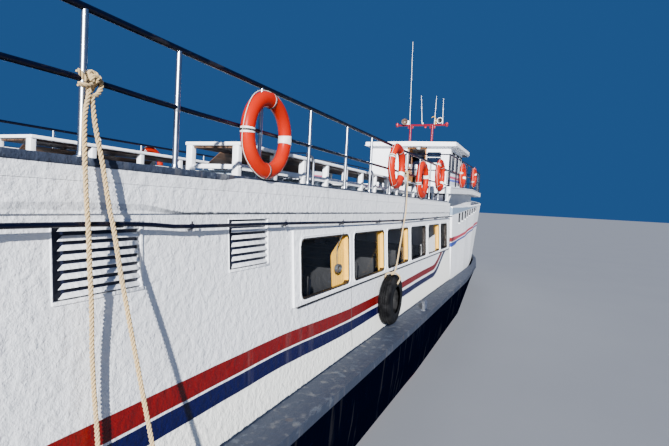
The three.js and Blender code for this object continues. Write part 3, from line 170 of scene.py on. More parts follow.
def open_mesh(o, everything=False):
    hold(o)
    bpy.ops.object.mode_set(mode="EDIT")
    bpy.ops.mesh.select_mode(type="FACE")
    bpy.ops.mesh.select_all(action="SELECT" if everything else "DESELECT")


def close_mesh():
    bpy.ops.object.mode_set(mode="OBJECT")


def pick(o, test):
    """In edit mode, selects the faces whose middle passes a test."""
    bpy.ops.mesh.select_mode(type="FACE")
    mesh = bmesh.from_edit_mesh(o.data)
    for face in mesh.faces:
        face.select_set(test(face.calc_center_median()))
    mesh.select_flush_mode()
    bmesh.update_edit_mesh(o.data)


def sound(o):
    """Merges doubled points and turns every face outwards."""
    open_mesh(o, everything=True)
    bpy.ops.mesh.remove_doubles(threshold=0.00002)
    bpy.ops.mesh.select_all(action="SELECT")
    bpy.ops.mesh.normals_make_consistent(inside=False)
    close_mesh()
    return o


def block(low, high, edge=0.004, steps=2):
    """A plate or bar with rounded edges between two corners."""
    rest()
    low, high = Vector(low), Vector(high)
    bpy.ops.mesh.primitive_cube_add(size=1, location=(low + high) / 2, scale=high - low)
    o = bpy.context.object
    bpy.ops.object.transform_apply(location=True, rotation=True, scale=True)
    bpy.ops.object.mode_set(mode="EDIT")
    bpy.ops.mesh.select_all(action="SELECT")
    bpy.ops.mesh.bevel(offset=edge, segments=steps, affect="EDGES")
    close_mesh()
    return o


def turned(profile, sides=24):
    """A closed turned shape on the Z axis; the profile is radius and height from end to end."""
    rest()
    radius, height = profile[0]
    bpy.ops.mesh.primitive_circle_add(
        vertices=sides, radius=radius, fill_type="NGON", location=(0, 0, 0)
    )
    o = bpy.context.object
    bpy.ops.object.mode_set(mode="EDIT")
    bpy.ops.transform.translate(value=(0, 0, height))
    for r, z in profile[1:]:
        bpy.ops.mesh.extrude_region_move(TRANSFORM_OT_translate={"value": (0, 0, z - height)})
        bpy.ops.transform.resize(value=(r / radius, r / radius, 1), center_override=(0, 0, z))
        radius, height = r, z
    close_mesh()
    return sound(o)


def moved(o, place, axis=None):
    """Puts a piece's mesh at a place, with its Z axis turned to a direction."""
    matrix = Matrix.Translation(Vector(place))
    if axis is not None:
        matrix = matrix @ Vector(axis).to_track_quat("Z", "Y").to_matrix().to_4x4()
    o.data.transform(matrix)
    return o


def copied(o, matrix):
    """A copy with its own mesh, moved by a matrix."""
    c = o.copy()
    c.data = o.data.copy()
    bpy.context.scene.collection.objects.link(c)
    c.data.transform(matrix)
    return c


def shifted(o, x=0, y=0, z=0):
    return copied(o, Matrix.Translation((x, y, z)))


def joined(parts):
    """One piece of several, each with its finishes."""
    parts = list(parts)
    hold(*parts)
    if len(parts) > 1:
        bpy.ops.object.join()
    return parts[0]


def to_port(o):
    """A mirrored copy of a starboard piece."""
    return sound(copied(o, PORT))


def both(o):
    """A piece of the two sides."""
    return joined([o, to_port(o)])


def tubes(routes, radius, sides=12, closed=False, taper=None):
    """Round tubes along routes of points, with closed ends."""
    rest()
    line = bpy.data.curves.new("line", "CURVE")
    line.dimensions = "3D"
    line.bevel_depth = radius
    line.bevel_resolution = max(0, (sides - 4) // 2)
    line.use_fill_caps = not closed
    for route in routes:
        spline = line.splines.new("POLY")
        spline.points.add(len(route) - 1)
        spline.use_cyclic_u = closed
        for i, (point, co) in enumerate(zip(spline.points, route)):
            point.co = (*co, 1)
            if taper:
                point.radius = taper(i / (len(route) - 1))
    o = bpy.data.objects.new("line", line)
    bpy.context.scene.collection.objects.link(o)
    hold(o)
    bpy.ops.object.convert(target="MESH")
    return sound(bpy.context.object)


def rounded_loop(u0, v0, u1, v1, r, steps=6):
    """Corner points of a rounded rectangle, as pairs."""
    points = []
    corners = (u1 - r, v0 + r, -90), (u1 - r, v1 - r, 0), (u0 + r, v1 - r, 90), (u0 + r, v0 + r, 180)
    for cu, cv, start in corners:
        for i in range(steps + 1):
            a = math.radians(start + 90 * i / steps)
            points.append((cu + r * math.cos(a), cv + r * math.sin(a)))
    return points


def smoothed(points, step):
    """Even points along a smooth line through the given ones."""
    points = [Vector(p) for p in points]
    ends = [2 * points[0] - points[1], *points, 2 * points[-1] - points[-2]]
    fine = []
    for a, b, c, d in zip(ends, ends[1:], ends[2:], ends[3:]):
        slope, bend, twist = c - a, 2 * a - 5 * b + 4 * c - d, 3 * b - a - 3 * c + d
        for i in range(24):
            t = i / 24
            fine.append(0.5 * (2 * b + slope * t + bend * t**2 + twist * t**3))
    fine.append(points[-1])
    total = sum((b - a).length for a, b in zip(fine, fine[1:]))
    count = max(2, round(total / step))
    even, run, i = [fine[0]], 0.0, 0
    for k in range(1, count):
        goal = total * k / count
        while run + (fine[i + 1] - fine[i]).length < goal:
            run += (fine[i + 1] - fine[i]).length
            i += 1
        part = (goal - run) / (fine[i + 1] - fine[i]).length
        even.append(fine[i].lerp(fine[i + 1], part))
    even.append(fine[-1])
    return even


def laid(points, radius, sides=8):
    """The three strands of a laid rope along a route."""
    lay = 5.2 * radius
    route = smoothed(points, lay / 8)
    strand = radius * 0.42
    side = (route[1] - route[0]).orthogonal().normalized()
    strands = [[], [], []]
    for i, p in enumerate(route):
        line = (route[min(i + 1, len(route) - 1)] - route[max(i - 1, 0)]).normalized()
        side = (side - line * side.dot(line)).normalized()
        other = line.cross(side)
        for k in range(3):
            a = TURN * (i / 8 + k / 3)
            strands[k].append(p + (side * math.cos(a) + other * math.sin(a)) * (radius - strand))
    return tubes(strands, strand, sides)


def smooth(o, angle=35):
    hold(o)
    bpy.ops.object.shade_smooth_by_angle(angle=math.radians(angle))
    return o


def coated(o, finish):
    """Gives every face of a part one finish."""
    o.data.materials.clear()
    o.data.materials.append(FINISHES[finish])
    return o


def fitted(o, name, body="ship", stands_for=(), angle=35):
    """Names a finished piece and lets it ride on its body."""
    smooth(o, angle)
    o.name = name
    o.data.name = name
    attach(o, body)
    if stands_for:
        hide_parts(*stands_for)
    return o


def fitted_both(o, name, stands_for=None):
    """Fits a mirrored copy of a starboard piece and then the piece; the side's word ends each name."""
    for side, piece in (("port", to_port(o)), ("starboard", o)):
        fitted(piece, name + side, stands_for=[stands_for + side] if stands_for else ())


def turned_by(degrees, axis):
    return Matrix.Rotation(math.radians(degrees), 4, axis)


# Finishes

FINISHES = {}


def rgb(colour, share=1.0):
    return (*(min(1.0, c * share) for c in colour[:3]), 1.0)


class Value:
    """A shader socket that Python's arithmetic works on."""

    def __init__(self, finish, socket):
        self.finish = finish
        self.socket = socket

    def math(self, operation, a, b):
        return self.finish.value("ShaderNodeMath", {"operation": operation}, {0: a, 1: b})

    def __add__(self, other):
        return self.math("ADD", self, other)

    __radd__ = __add__

    def __sub__(self, other):
        return self.math("SUBTRACT", self, other)

    def __rsub__(self, other):
        return self.math("SUBTRACT", other, self)

    def __mul__(self, other):
        return self.math("MULTIPLY", self, other)

    __rmul__ = __mul__

    def size(self):
        return self.math("ABSOLUTE", self, 0)

    def over(self, edge, soft=0.01):
        """0 below an edge and 1 above it."""
        return self.finish.value(
            "ShaderNodeMapRange",
            {"interpolation_type": "SMOOTHSTEP"},
            {"Value": self, "From Min": edge - soft / 2, "From Max": edge + soft / 2},
        )

    def inside(self, middle, half, soft=0.004):
        """1 within half of a middle, which may be a value too."""
        return 1 - (self - middle).size().over(half, soft)


class Finish:
    """A principled finish whose nodes are added by kind, settings and socket values."""

    def __init__(self, name, **fixed):
        self.material = bpy.data.materials.new(name)
        self.material.use_nodes = True
        self.tree = self.material.node_tree
        self.shader = self.tree.nodes["Principled BSDF"]
        for key, value in fixed.items():
            self.shader.inputs[key.replace("_", " ").title().replace("Ior", "IOR")].default_value = value
        self.place = self.value("ShaderNodeTexCoord", {}, {}, "Object")
        parts = self.node("ShaderNodeSeparateXYZ", {}, {"Vector": self.place})
        self.x, self.y, self.z = (Value(self, s) for s in parts.outputs)
        self.relief = None
        FINISHES[name] = self.material

    def node(self, kind, settings, sockets):
        made = self.tree.nodes.new(kind)
        for key, value in settings.items():
            setattr(made, key, value)
        for key, value in sockets.items():
            if isinstance(value, Value):
                self.tree.links.new(value.socket, made.inputs[key])
            else:
                made.inputs[key].default_value = value
        return made

    def value(self, kind, settings, sockets, out=0):
        return Value(self, self.node(kind, settings, sockets).outputs[out])

    def stretched(self, scale, turn=(0, 0, 0)):
        return self.value(
            "ShaderNodeMapping", {}, {"Vector": self.place, "Scale": scale, "Rotation": turn}
        )

    def noise(self, scale, detail=3, rough=0.5, at=None):
        return self.value(
            "ShaderNodeTexNoise",
            {},
            {"Vector": at or self.place, "Scale": scale, "Detail": detail, "Roughness": rough},
        )

    def cells(self, scale):
        return self.value("ShaderNodeTexVoronoi", {}, {"Vector": self.place, "Scale": scale})

    def ribs(self, direction, scale):
        return self.value(
            "ShaderNodeTexWave", {"bands_direction": direction}, {"Vector": self.place, "Scale": scale}
        )

    def mix(self, mask, a, b):
        return self.value("ShaderNodeMix", {"data_type": "RGBA"}, {0: mask, 6: a, 7: b}, 2)

    def tint(self, mask, plain, marked):
        """The colour, plain where a mask is 0."""
        self.feed("Base Color", self.mix(mask, rgb(plain), rgb(marked)))

    def bump(self, height, strength, depth):
        sockets = {"Height": height, "Strength": strength, "Distance": depth}
        if self.relief:
            sockets["Normal"] = self.relief
        self.relief = self.value("ShaderNodeBump", {}, sockets)
        self.feed("Normal", self.relief)

    def feed(self, key, value):
        if isinstance(value, Value):
            self.tree.links.new(value.socket, self.shader.inputs[key])
        else:
            self.shader.inputs[key].default_value = value


def painted(name, colour, gloss=0.4, strokes=0.5, grime=0.25, rust=0.0, cover=None):
    """Brushed paint on plate; cover may lay further colours over it."""
    f = Finish(name, specular_ior_level={"hull coat": 0.0, "rail coat": 0.25}.get(name, 0.4))
    broad = f.noise(0.8, 4)
    brush = f.noise(1, 4, 0.6, f.stretched((15, 15, 10), (0.12, 0.12, 0)))
    lumps = f.noise(15, 4, 0.6).over(0.52, 0.5)
    grain = f.noise(90, 2)
    tone = f.mix(broad.over(0.52, 0.3), rgb(colour), rgb(colour, 0.93))
    tone = f.mix(brush.over(0.62, 0.2) * 0.35, tone, rgb(colour, 1.07))
    if cover:
        tone = cover(f, tone)
    streaks = f.noise(1, 3, 0.5, f.stretched((9, 9, 0.7)))
    tone = f.mix(streaks.over(0.64, 0.18) * grime, tone, (0.25, 0.24, 0.22, 1))
    if rust:
        spots = (f.noise(5, 6, 0.65) * 0.6 + f.noise(31, 3) * 0.4).over(0.66 - 0.1 * rust, 0.03)
        tone = f.mix(spots * 0.8, tone, (0.16, 0.055, 0.02, 1))
        f.feed("Roughness", gloss + spots * 0.4)
    else:
        f.feed("Roughness", gloss + (brush - 0.5) * 0.25)
    f.feed("Base Color", tone)
    if strokes:
        f.bump(brush * 0.3 + lumps * 0.4 + grain * 0.1, strokes, 0.025)
    return f


def make_paints(c):
    """Paints from the chosen colours, with the stripes, slots and water line drawn in them; the bow's slots
    and band, the window reveals and some dark lines are painted shade.
    """

    def side_stripes(f, tone):
        # two stripes that rise ahead of the last window, over cream paint
        middle = 1.705 - f.x.over(-5.8, 2.2) * 0.072 + f.x.over(-2, 4) * 0.05 + f.x.over(1.2, 2) * 0.485
        half = 0.072 - f.x.over(-4, 4) * 0.016
        clear = 1 - f.z.over(1.985, 0.004) * (1 - f.x.over(2.26, 0.01))
        height = f.z + (f.noise(2.2, 2) - 0.5) * 0.012
        tone = f.mix(1 - (height - (middle - 0.22)).over(0, 0.01), tone, rgb(c.cream))
        tone = f.mix(height.inside(middle, half) * clear, tone, rgb(c.red))
        lower = middle - 0.157 + f.x.over(1.2, 2) * 0.04
        tone = f.mix(height.inside(lower, half - 0.004) * clear, tone, rgb(c.blue))
        # deck paint brushed up the wall's foot
        ragged = f.z + (f.noise(16, 4, 0.7) - 0.5) * 0.035
        tone = f.mix(1 - ragged.over(1.163, 0.004), tone, rgb(c.deck))
        # painted shadow: a broken dark line under the ridge, faint at the aft end
        ahead = f.x.over(-8.1, 0.5)
        ragged = f.z + (f.noise(12, 5, 0.7) - 0.5) * 0.03
        patchy = ragged.inside(2.955 - ahead * 0.038, 0.02 - ahead * 0.012, 0.01)
        patchy = patchy * f.noise(5, 4, 0.7).over(0.42, 0.2) * (0.35 + ahead * 0.6)
        tone = f.mix(patchy, tone, (0.04, 0.045, 0.055, 1))
        # painted shade: a dark fore edge, the shaded gap where the bulwark starts
        corner = f.x.over(2.415, 0.006) * f.z.over(2.22, 0.02)
        tone = f.mix(corner, tone, (0.004, 0.006, 0.014, 1))
        # clean frame round the windows; painted shade: the reveals and the inside face darkened as the
        # shade within the cabin, and the fore jambs of the curtained windows painted in the curtain's
        # colour
        depth = 2.88 - (f.z - 1.05) * math.tan(LEAN) - f.y.size()
        reveal = depth.over(-0.013, 0.004) * f.z.inside(2.35, 0.34) * f.x.inside(-2.12, 4.13)
        inner = reveal.math("MAXIMUM", reveal, depth.over(0.024, 0.002))
        plate = (depth + 0.02).inside(0, 0.007, 0.003) * f.z.inside(2.37, 0.385) * f.x.inside(-2.05, 4.3)
        tone = f.mix(plate, tone, (0.88, 0.9, 0.93, 1))
        jamb = reveal * sum(f.x.inside(b, 0.012) for a, b in (WINDOWS[k] for k in (0, 1, 2, 4)))
        return f.mix(inner, tone, f.mix(jamb, (0.012, 0.008, 0.006, 1), rgb(c.curtain)))

    def bow_stripes(f, tone):
        height = f.z + (f.noise(2.2, 2) - 0.5) * 0.02
        middle = 2.19 + f.x.over(6, 7.5) * 0.34 + f.x.over(13.5, 6) * 0.22
        near = 1 - f.x.over(3.4, 0.6)
        # painted shade: ahead of x 3 the red stripe turns a paler pink-red, the stripe's look in shade
        red = f.mix(f.x.over(3, 0.4), rgb(c.red), rgb((0.42, 0.03, 0.06)))
        tone = f.mix(height.inside(middle, 0.045 + near * 0.015, 0.01), tone, red)
        lower = height.inside(middle - 0.1 - near * 0.035, 0.028 + near * 0.03, 0.01)
        tone = f.mix(lower, tone, rgb((0.008, 0.03, 0.22)))
        # painted shade: a blue-grey band along the top for the wall above it in shade, and under it a row
        # of slots painted near-black for the shade inside openings
        ahead = f.x - 3.6
        shaded_band = (f.z - ahead * 0.0615).over(2.915, 0.01)
        tone = f.mix(shaded_band, tone, rgb((0.2, 0.27, 0.36)))
        slot = ahead.math("MODULO", ahead + 2.084, 0.52)
        row = (1 - slot.over(0.31, 0.004)) * ahead.over(-0.01, 0.004) * (1 - ahead.over(3.96, 0.004))
        tall = (f.z - ahead * 0.1).over(2.6, 0.004) * (1 - (f.z - ahead * 0.0615).over(2.905, 0.004))
        return f.mix(row * tall, tone, (0.003, 0.004, 0.008, 1))

    def water_line(f, tone):
        wet = (f.z + (f.noise(1.5, 4) - 0.5) * 0.1).over(0.06, 0.05)
        tone = f.mix(wet, rgb((0.12, 0.02, 0.016)), tone)
        scuffs = f.noise(1, 5, 0.7, f.stretched((2, 2, 26))).over(0.66, 0.04)
        return f.mix(scuffs * 0.18, tone, rgb((0.008, 0.016, 0.045)))

    def worn_deck(f, tone):
        worn = f.noise(6, 6, 0.7).over(0.6, 0.08)
        tone = f.mix(worn * 0.35, tone, rgb((0.12, 0.14, 0.17)))
        marks = f.cells(1.7).over(0.06, 0.03)
        return f.mix((1 - marks) * 0.6, tone, rgb((0.06, 0.05, 0.05)))

    def upper_deck(f, tone):
        edge = 3.168 + f.x.over(-7.35, 0.3) * f.y.size().over(2.712, 0.004) * 0.03
        return f.mix((f.z - edge).over(0, 0.004), rgb(c.white), worn_deck(f, tone))

    def worn_rail(f, tone):
        worn = f.noise(1, 5, 0.65, f.stretched((3, 9, 9))).over(0.6, 0.05)
        return f.mix(worn * 0.6, tone, rgb((0.02, 0.018, 0.02)))

    painted("white coat", c.white, 0.38, 0.6, 0.14)
    painted("cabin coat", c.white, 0.36, 0.6, 0.08, cover=side_stripes)
    painted("bow coat", c.white, 0.4, 0.5, 0.2, cover=bow_stripes)
    painted("smooth white", (0.88, 0.9, 0.93), 0.3, 0.15, 0.1)
    painted("hull coat", c.navy, 0.3, 0.25, 0.05, cover=water_line)
    painted("deck coat", c.deck, 0.62, 0.35, 0.3, cover=worn_deck)
    painted("upper deck coat", c.deck, 0.6, 0.5, 0.3, cover=upper_deck)
    # near-black paint for painted shade: inside the louvres, under the roof's front and under the bridge
    # deck
    painted("painted shade", (0.006, 0.009, 0.028), 0.5, 0.2, 0.0)
    painted("rail coat", c.rail, 0.3, 0.18, 0.0, cover=worn_rail)
    painted("mast coat", c.mast, 0.28, 0.2, 0.1)
    painted("iron coat", (0.05, 0.055, 0.06), 0.5, 0.5, 0.2, rust=0.5)
    painted("box coat", (0.3, 0.36, 0.43), 0.5, 0.3, 0.3)
    painted("faded board", (0.6, 0.62, 0.66), 0.5, 0.2, 0.2)
    painted("red board", (0.5, 0.06, 0.14), 0.5, 0.2, 0.2)
    painted("blue board", (0.07, 0.11, 0.5), 0.5, 0.2, 0.2)
    painted("seat frame", (0.004, 0.0045, 0.006), 0.6, 0.2, 0.0)


def make_other_finishes(c):
    """Steel, glass, cloth, rope, rubber, wood and lenses."""
    steel = Finish("post steel", metallic=1.0)
    brush = steel.noise(1, 3, 0.6, steel.stretched((60, 60, 900)))
    steel.tint(steel.noise(3, 4).over(0.6, 0.2), (0.48, 0.51, 0.56), (0.28, 0.28, 0.3))
    steel.feed("Roughness", 0.2 + brush * 0.22)
    steel.bump(brush, 0.08, 0.001)

    for name, gloss, mirror, dark, light, alpha, smears, rough in (
        ("dark glass", 0.03, 0.2, (0.002, 0.004, 0.009), (0.006, 0.01, 0.018), 0.13, 0.08, 0.02),
        ("house glass", 0.04, 0.15, (0.003, 0.007, 0.018), (0.01, 0.018, 0.04), 0.72, 0.12, 0.03),
    ):
        glass = Finish(name, roughness=gloss, specular_ior_level=mirror)
        patchy = glass.noise(1, 4, 0.6, glass.stretched((2.5, 2.5, 1.2)))
        glass.tint(patchy, dark, light)
        glass.feed("Alpha", alpha + patchy * smears)
        glass.feed("Roughness", rough + patchy.over(0.6, 0.2) * 0.06)

    cloth = Finish("curtain cloth", roughness=0.9, sheen_weight=0.05)
    weave = cloth.noise(1, 2, 0.6, cloth.stretched((420, 420, 420)))
    tone = cloth.mix(cloth.noise(2.5, 4) * 0.6 + weave * 0.4, rgb(c.curtain), rgb(c.curtain, 0.72))
    cloth.feed("Base Color", tone)
    cloth.bump(weave, 0.25, 0.001)

    shell = Finish("ring shell", roughness=0.42, specular_ior_level=0.12)
    fade = shell.noise(4, 4).over(0.55, 0.3)
    scuff = shell.noise(1, 5, 0.7, shell.stretched((18, 18, 40))).over(0.68, 0.05)
    tone = shell.mix(fade, rgb(c.ring), rgb((0.4, 0.014, 0.0006)))
    shell.feed("Base Color", shell.mix(scuff * 0.25, tone, rgb((0.3, 0.06, 0.02))))
    shell.feed("Roughness", 0.36 + scuff * 0.3)
    shell.bump(shell.noise(30, 3) * 0.6 + shell.noise(140, 2) * 0.4, 0.14, 0.003)

    tape = Finish("white tape", roughness=0.5)
    tape.tint(tape.noise(22, 4).over(0.58, 0.2) * 0.5, (0.75, 0.75, 0.72), (0.42, 0.38, 0.32))
    tape.bump(tape.noise(60, 3), 0.2, 0.002)

    cord = Finish("white line", roughness=0.85)
    turns = cord.noise(1, 2, 0.5, cord.stretched((260, 260, 260)))
    cord.tint(turns, (0.7, 0.68, 0.62), (0.42, 0.4, 0.36))
    cord.bump(turns, 0.5, 0.002)

    rope = Finish("laid rope", roughness=0.85, sheen_weight=0.2)
    yarn = rope.noise(1, 3, 0.6, rope.stretched((380, 380, 150), (0.5, 0.6, 0)))
    soil = rope.noise(7, 4).over(0.58, 0.2)
    tone = rope.mix(yarn.over(0.5, 0.4), rgb(c.rope), rgb(c.rope, 0.72))
    rope.feed("Base Color", rope.mix(soil * 0.4, tone, rgb((0.36, 0.28, 0.17))))
    rope.bump(yarn, 0.6, 0.0015)

    rubber = Finish("tyre rubber", roughness=0.6, specular_ior_level=0.1)
    dust = rubber.noise(5, 5, 0.6).over(0.55, 0.25)
    rubber.tint(dust * 0.7, (0.0025, 0.0025, 0.003), (0.014, 0.014, 0.015))
    rubber.feed("Roughness", 0.42 + dust * 0.35)
    rubber.bump(rubber.noise(110, 3), 0.25, 0.002)

    seal = Finish("black seal", roughness=0.5)
    seal.tint(seal.noise(20, 3), (0.003, 0.003, 0.0035), (0.012, 0.012, 0.013))
    seal.bump(seal.noise(90, 2), 0.2, 0.001)

    bronze = Finish("screw bronze", metallic=1.0)
    film = bronze.noise(9, 5, 0.6).over(0.5, 0.3)
    bronze.tint(film, (0.48, 0.3, 0.12), (0.16, 0.15, 0.1))
    bronze.feed("Roughness", 0.3 + film * 0.3)
    bronze.bump(bronze.noise(60, 3), 0.2, 0.002)

    for name, light, dark, size in (
        ("varnished wood", (0.42, 0.17, 0.045), (0.2, 0.07, 0.018), (2.2, 30, 30)),
        ("brown planks", (0.11, 0.06, 0.035), (0.045, 0.025, 0.016), (1.6, 24, 24)),
        ("light wood", (0.55, 0.27, 0.07), (0.38, 0.16, 0.04), (30, 30, 2.0)),
    ):
        wood = Finish(name, roughness=0.35)
        rings = wood.noise(1, 5, 0.6, wood.stretched(size))
        wood.tint(rings.over(0.5, 0.22), light, dark)
        wood.feed("Roughness", 0.28 + rings * 0.3)
        wood.bump(rings, 0.25, 0.002)

    cover = Finish("seat cover", roughness=0.9, specular_ior_level=0.1)
    weave = cover.noise(1, 2, 0.6, cover.stretched((300, 300, 300)))
    ribs = cover.ribs("Y", 18.0)
    cover.tint(weave * 0.5 + ribs * 0.3, (0.0015, 0.003, 0.01), (0.004, 0.007, 0.02))
    cover.bump(weave * 0.6 + ribs * 0.4, 0.3, 0.002)

    for name, colour in (
        ("red lens", (0.5, 0.01, 0.01)),
        ("amber lens", (0.7, 0.4, 0.02)),
        ("clear lens", (0.6, 0.62, 0.62)),
    ):
        lens = Finish(name, roughness=0.12, coat_weight=0.6)
        ribs = lens.ribs("Z", 30.0)
        lens.feed("Base Color", lens.mix(ribs, rgb(colour), rgb(colour, 0.6)))
        lens.bump(ribs, 0.4, 0.003)

    screen = Finish("dark screen", roughness=0.1)
    screen.tint(screen.noise(6, 2), (0.006, 0.01, 0.014), (0.02, 0.03, 0.03))
    fibre = Finish("white fibreglass", roughness=0.35)
    fibre.tint(fibre.noise(9, 3), (0.82, 0.83, 0.84), (0.66, 0.67, 0.68))
    fibre.bump(fibre.noise(80, 2), 0.06, 0.001)


CAD_FINISHES = {
    "hull coat": ("hull", "rudder_starboard", "rudder_port"),
    "upper deck coat": ("upper_deck",),
    "deck coat": ("side_ledge", "foredeck", "cabin_floor", "aft_stairs", "helm_console"),
    "cabin coat": ("cabin_side_starboard", "cabin_side_port"),
    "bow coat": ("bow_bulwark",),
    "white coat": (
        "bridge_deck", "fore_cabin_side_starboard", "fore_cabin_side_port", "fore_cabin_front",
        "cabin_aft_wall", "cabin_front_wall", "cabin_door", "stern_bulwark",
    ),
    "smooth white": (
        "wheelhouse_aft_wall", "wheelhouse_side_starboard", "wheelhouse_side_port",
        "wheelhouse_front", "wheelhouse_roof", "bench_starboard", "bench_centre", "bench_port",
    ),
    "dark glass": ("window_glass_starboard", "window_glass_port"),
    "house glass": ("wheelhouse_glass",),
    "varnished wood": ("wheelhouse_door", "steering_wheel"),
    "iron coat": ("anchor_windlass", "engines", "shaft_bracket_starboard", "shaft_bracket_port"),
    "screw bronze": ("propeller_starboard", "propeller_port"),
    "rail coat": (
        "rail_starboard", "rail_port", "rail_aft", "bridge_rail", "grab_pipe_starboard", "grab_pipe_port",
    ),
    "ring shell": tuple(n for n in NODES if n.startswith("life_ring")),
    "tyre rubber": ("tyre_fender_fore", "tyre_fender_aft"),
    "laid rope": ("fender_rope_fore", "fender_ropes_aft"),
    "mast coat": ("signal_mast",),
    "seat cover": ("cabin_seats_starboard", "cabin_seats_port", "helm_seat"),
}


class FERRY_OT_finishes(bpy.types.Operator):
    """Makes the finishes and gives every CAD node its own"""

    bl_idname = "ferry.finishes"
    bl_label = "Finishes"

    def execute(self, context):
        make_paints(context.scene.ferry_colours)
        make_other_finishes(context.scene.ferry_colours)
        for finish, names in CAD_FINISHES.items():
            for name in names:
                coated(NODES[name], finish)
        return {"FINISHED"}


class FERRY_OT_stage(bpy.types.Operator):
    """Sets the camera, the floor at the waterline and soft light"""

    bl_idname = "ferry.stage"
    bl_label = "Stage"

    def execute(self, context):
        scene = context.scene
        yaw, pitch, roll = (math.radians(a) for a in (23.2, -2.54, 3.03))
        ahead = Vector((math.cos(yaw) * math.cos(pitch), math.sin(yaw) * math.cos(pitch), math.sin(pitch)))
        right = Vector((math.sin(yaw), -math.cos(yaw), 0))
        up = right.cross(ahead)
        across = right * math.cos(roll) + up * math.sin(roll)
        above = up * math.cos(roll) - right * math.sin(roll)
        lens = bpy.data.cameras.new("camera")
        lens.lens = 25.83
        lens.sensor_width = 36
        lens.clip_start = 0.05
        lens.clip_end = 2000
        camera = bpy.data.objects.new("camera", lens)
        turn = Matrix((across, above, -ahead)).transposed().to_4x4()
        camera.matrix_world = Matrix.Translation(EYE) @ turn
        scene.collection.objects.link(camera)
        scene.camera = camera

        rest()
        bpy.ops.mesh.primitive_plane_add(size=900, location=(0, 0, 0))
        floor = bpy.context.object
        floor.name = "floor"
        ground = Finish("pale floor", roughness=0.7)
        ground.tint(ground.noise(0.4, 3), (0.2, 0.21, 0.23), (0.225, 0.235, 0.255))
        coated(floor, "pale floor")

        world = bpy.data.worlds.new("studio")
        world.use_nodes = True
        back = world.node_tree.nodes["Background"]
        back.inputs["Color"].default_value = (0.08, 0.32, 0.95, 1)
        back.inputs["Strength"].default_value = 0.27
        scene.world = world
        for name, spot, power, angle in (
            ("key", (-2.4, -1, 0.85), 14.3, 0.8),
            ("fill", (-0.3, -0.4, 1), 0.06, 70),
        ):
            lamp = bpy.data.lights.new(name, "SUN")
            lamp.energy = power
            lamp.angle = math.radians(angle)
            o = bpy.data.objects.new(name, lamp)
            o.matrix_world = Vector(spot).to_track_quat("Z", "Y").to_matrix().to_4x4()
            scene.collection.objects.link(o)
        return {"FINISHED"}


class FERRY_OT_rails(bpy.types.Operator):
    """Round rails, steel posts and bent stays along both decks"""

    bl_idname = "ferry.rails"
    bl_label = "Rails and posts"

    def execute(self, context):
        sizes = context.scene.ferry_sizes
        aft, fore = POSTS[0], POSTS[-1]
        lines = joined([
            tubes([[(aft, RAIL_Y, RAIL_TOP), (fore + 0.02, RAIL_Y, RAIL_TOP)]], sizes.rail_tube, 16),
            tubes([[(x, RAIL_Y, z) for x, z in MID_RAIL]], MID_TUBE, 16),
        ])
        coated(lines, "rail coat")
        flange = [(0.042, 0), (0.042, 0.006), (0.036, 0.01), (0.023, 0.012), (0.021, 0.03)]
        sleeve = [(0.0195, -0.03), (0.0215, -0.022), (0.0215, 0.022), (0.0195, 0.03)]
        post = joined([
            tubes([[(0, RAIL_Y, TOE), (0, RAIL_Y, RAIL_TOP - 0.012)]], sizes.post_tube, 16),
            moved(turned(flange), (0, RAIL_Y, TOE)),
            moved(turned(sleeve), (0, RAIL_Y, RAIL_MID)),
        ])
        coated(post, "post steel")
        posts = [shifted(post, x) for x in POSTS]
        bend = [(0, 3.53), (0.063, 3.515), (0.092, 3.485), (0.1, 3.44), (0.105, TOE)]
        stay = tubes([smoothed([(x, RAIL_Y - 0.1 * x, z) for x, z in bend], 0.02)], 0.013, 10)
        coated(stay, "post steel")
        posts += [shifted(stay, x) for x in (-5.92, -3.93)]
        for model in (post, stay):
            bpy.data.objects.remove(model)
        fitted_both(lines, "side_rail_", "rail_")
        fitted_both(joined(posts), "side_posts_")

        x, half = -15.26, 2.63
        lines = joined([
            tubes([[(x, -half, RAIL_TOP), (x, half, RAIL_TOP)]], sizes.rail_tube, 16),
            tubes([[(x, -half, RAIL_MID), (x, half, RAIL_MID)]], MID_TUBE, 16),
        ])
        coated(lines, "rail coat")
        fitted(lines, "stern_rail", stands_for=["rail_aft"])
        bars = [
            tubes([[(x, y, TOE), (x, y, RAIL_TOP - 0.012)]], sizes.post_tube, 16)
            for y in (-half, -half / 2, 0, half / 2, half)
        ]
        fitted(coated(joined(bars), "post steel"), "stern_rail_posts")

        def line(height):
            side = [
                (x, along(BRIDGE, x, 1) - BRIDGE_INSET, along(BRIDGE, x, 2) + height) for x in BRIDGE_POSTS
            ]
            half_line = [*side, (12.45, 1.99, 3.78 + height)]
            return [(x, -y, z) for x, y, z in half_line] + half_line[::-1]

        ends = [
            [(2.28, s * 2.707, 3.602 + h), (2.28, s * 1.5, 3.602 + h)]
            for s in (-1, 1)
            for h in (BRIDGE_RAIL, BRIDGE_MID)
        ]
        feet = [(x, along(BRIDGE, x, 1) - BRIDGE_INSET) for x in BRIDGE_POSTS]
        feet += [(12.45, 1.99), (12.45, 0.663), (2.28, 1.5)]
        bars = []
        for px, py in feet:
            z = along(BRIDGE, px, 2)
            bars += [[(px, s * py, z), (px, s * py, z + BRIDGE_RAIL)] for s in (-1, 1)]
        rail = joined([
            tubes([line(BRIDGE_RAIL)], sizes.rail_tube, 14),
            tubes([line(BRIDGE_MID), *ends], MID_TUBE, 14),
            tubes(bars, sizes.post_tube, 14),
            tubes([[(2.28, s * 2.71, 3.601), (2.28, s * 2.71, 4.44)] for s in (-1, 1)], 0.03, 14),
        ])
        fitted(coated(rail, "rail coat"), "bridge_railing", stands_for=["bridge_rail"])
        return {"FINISHED"}


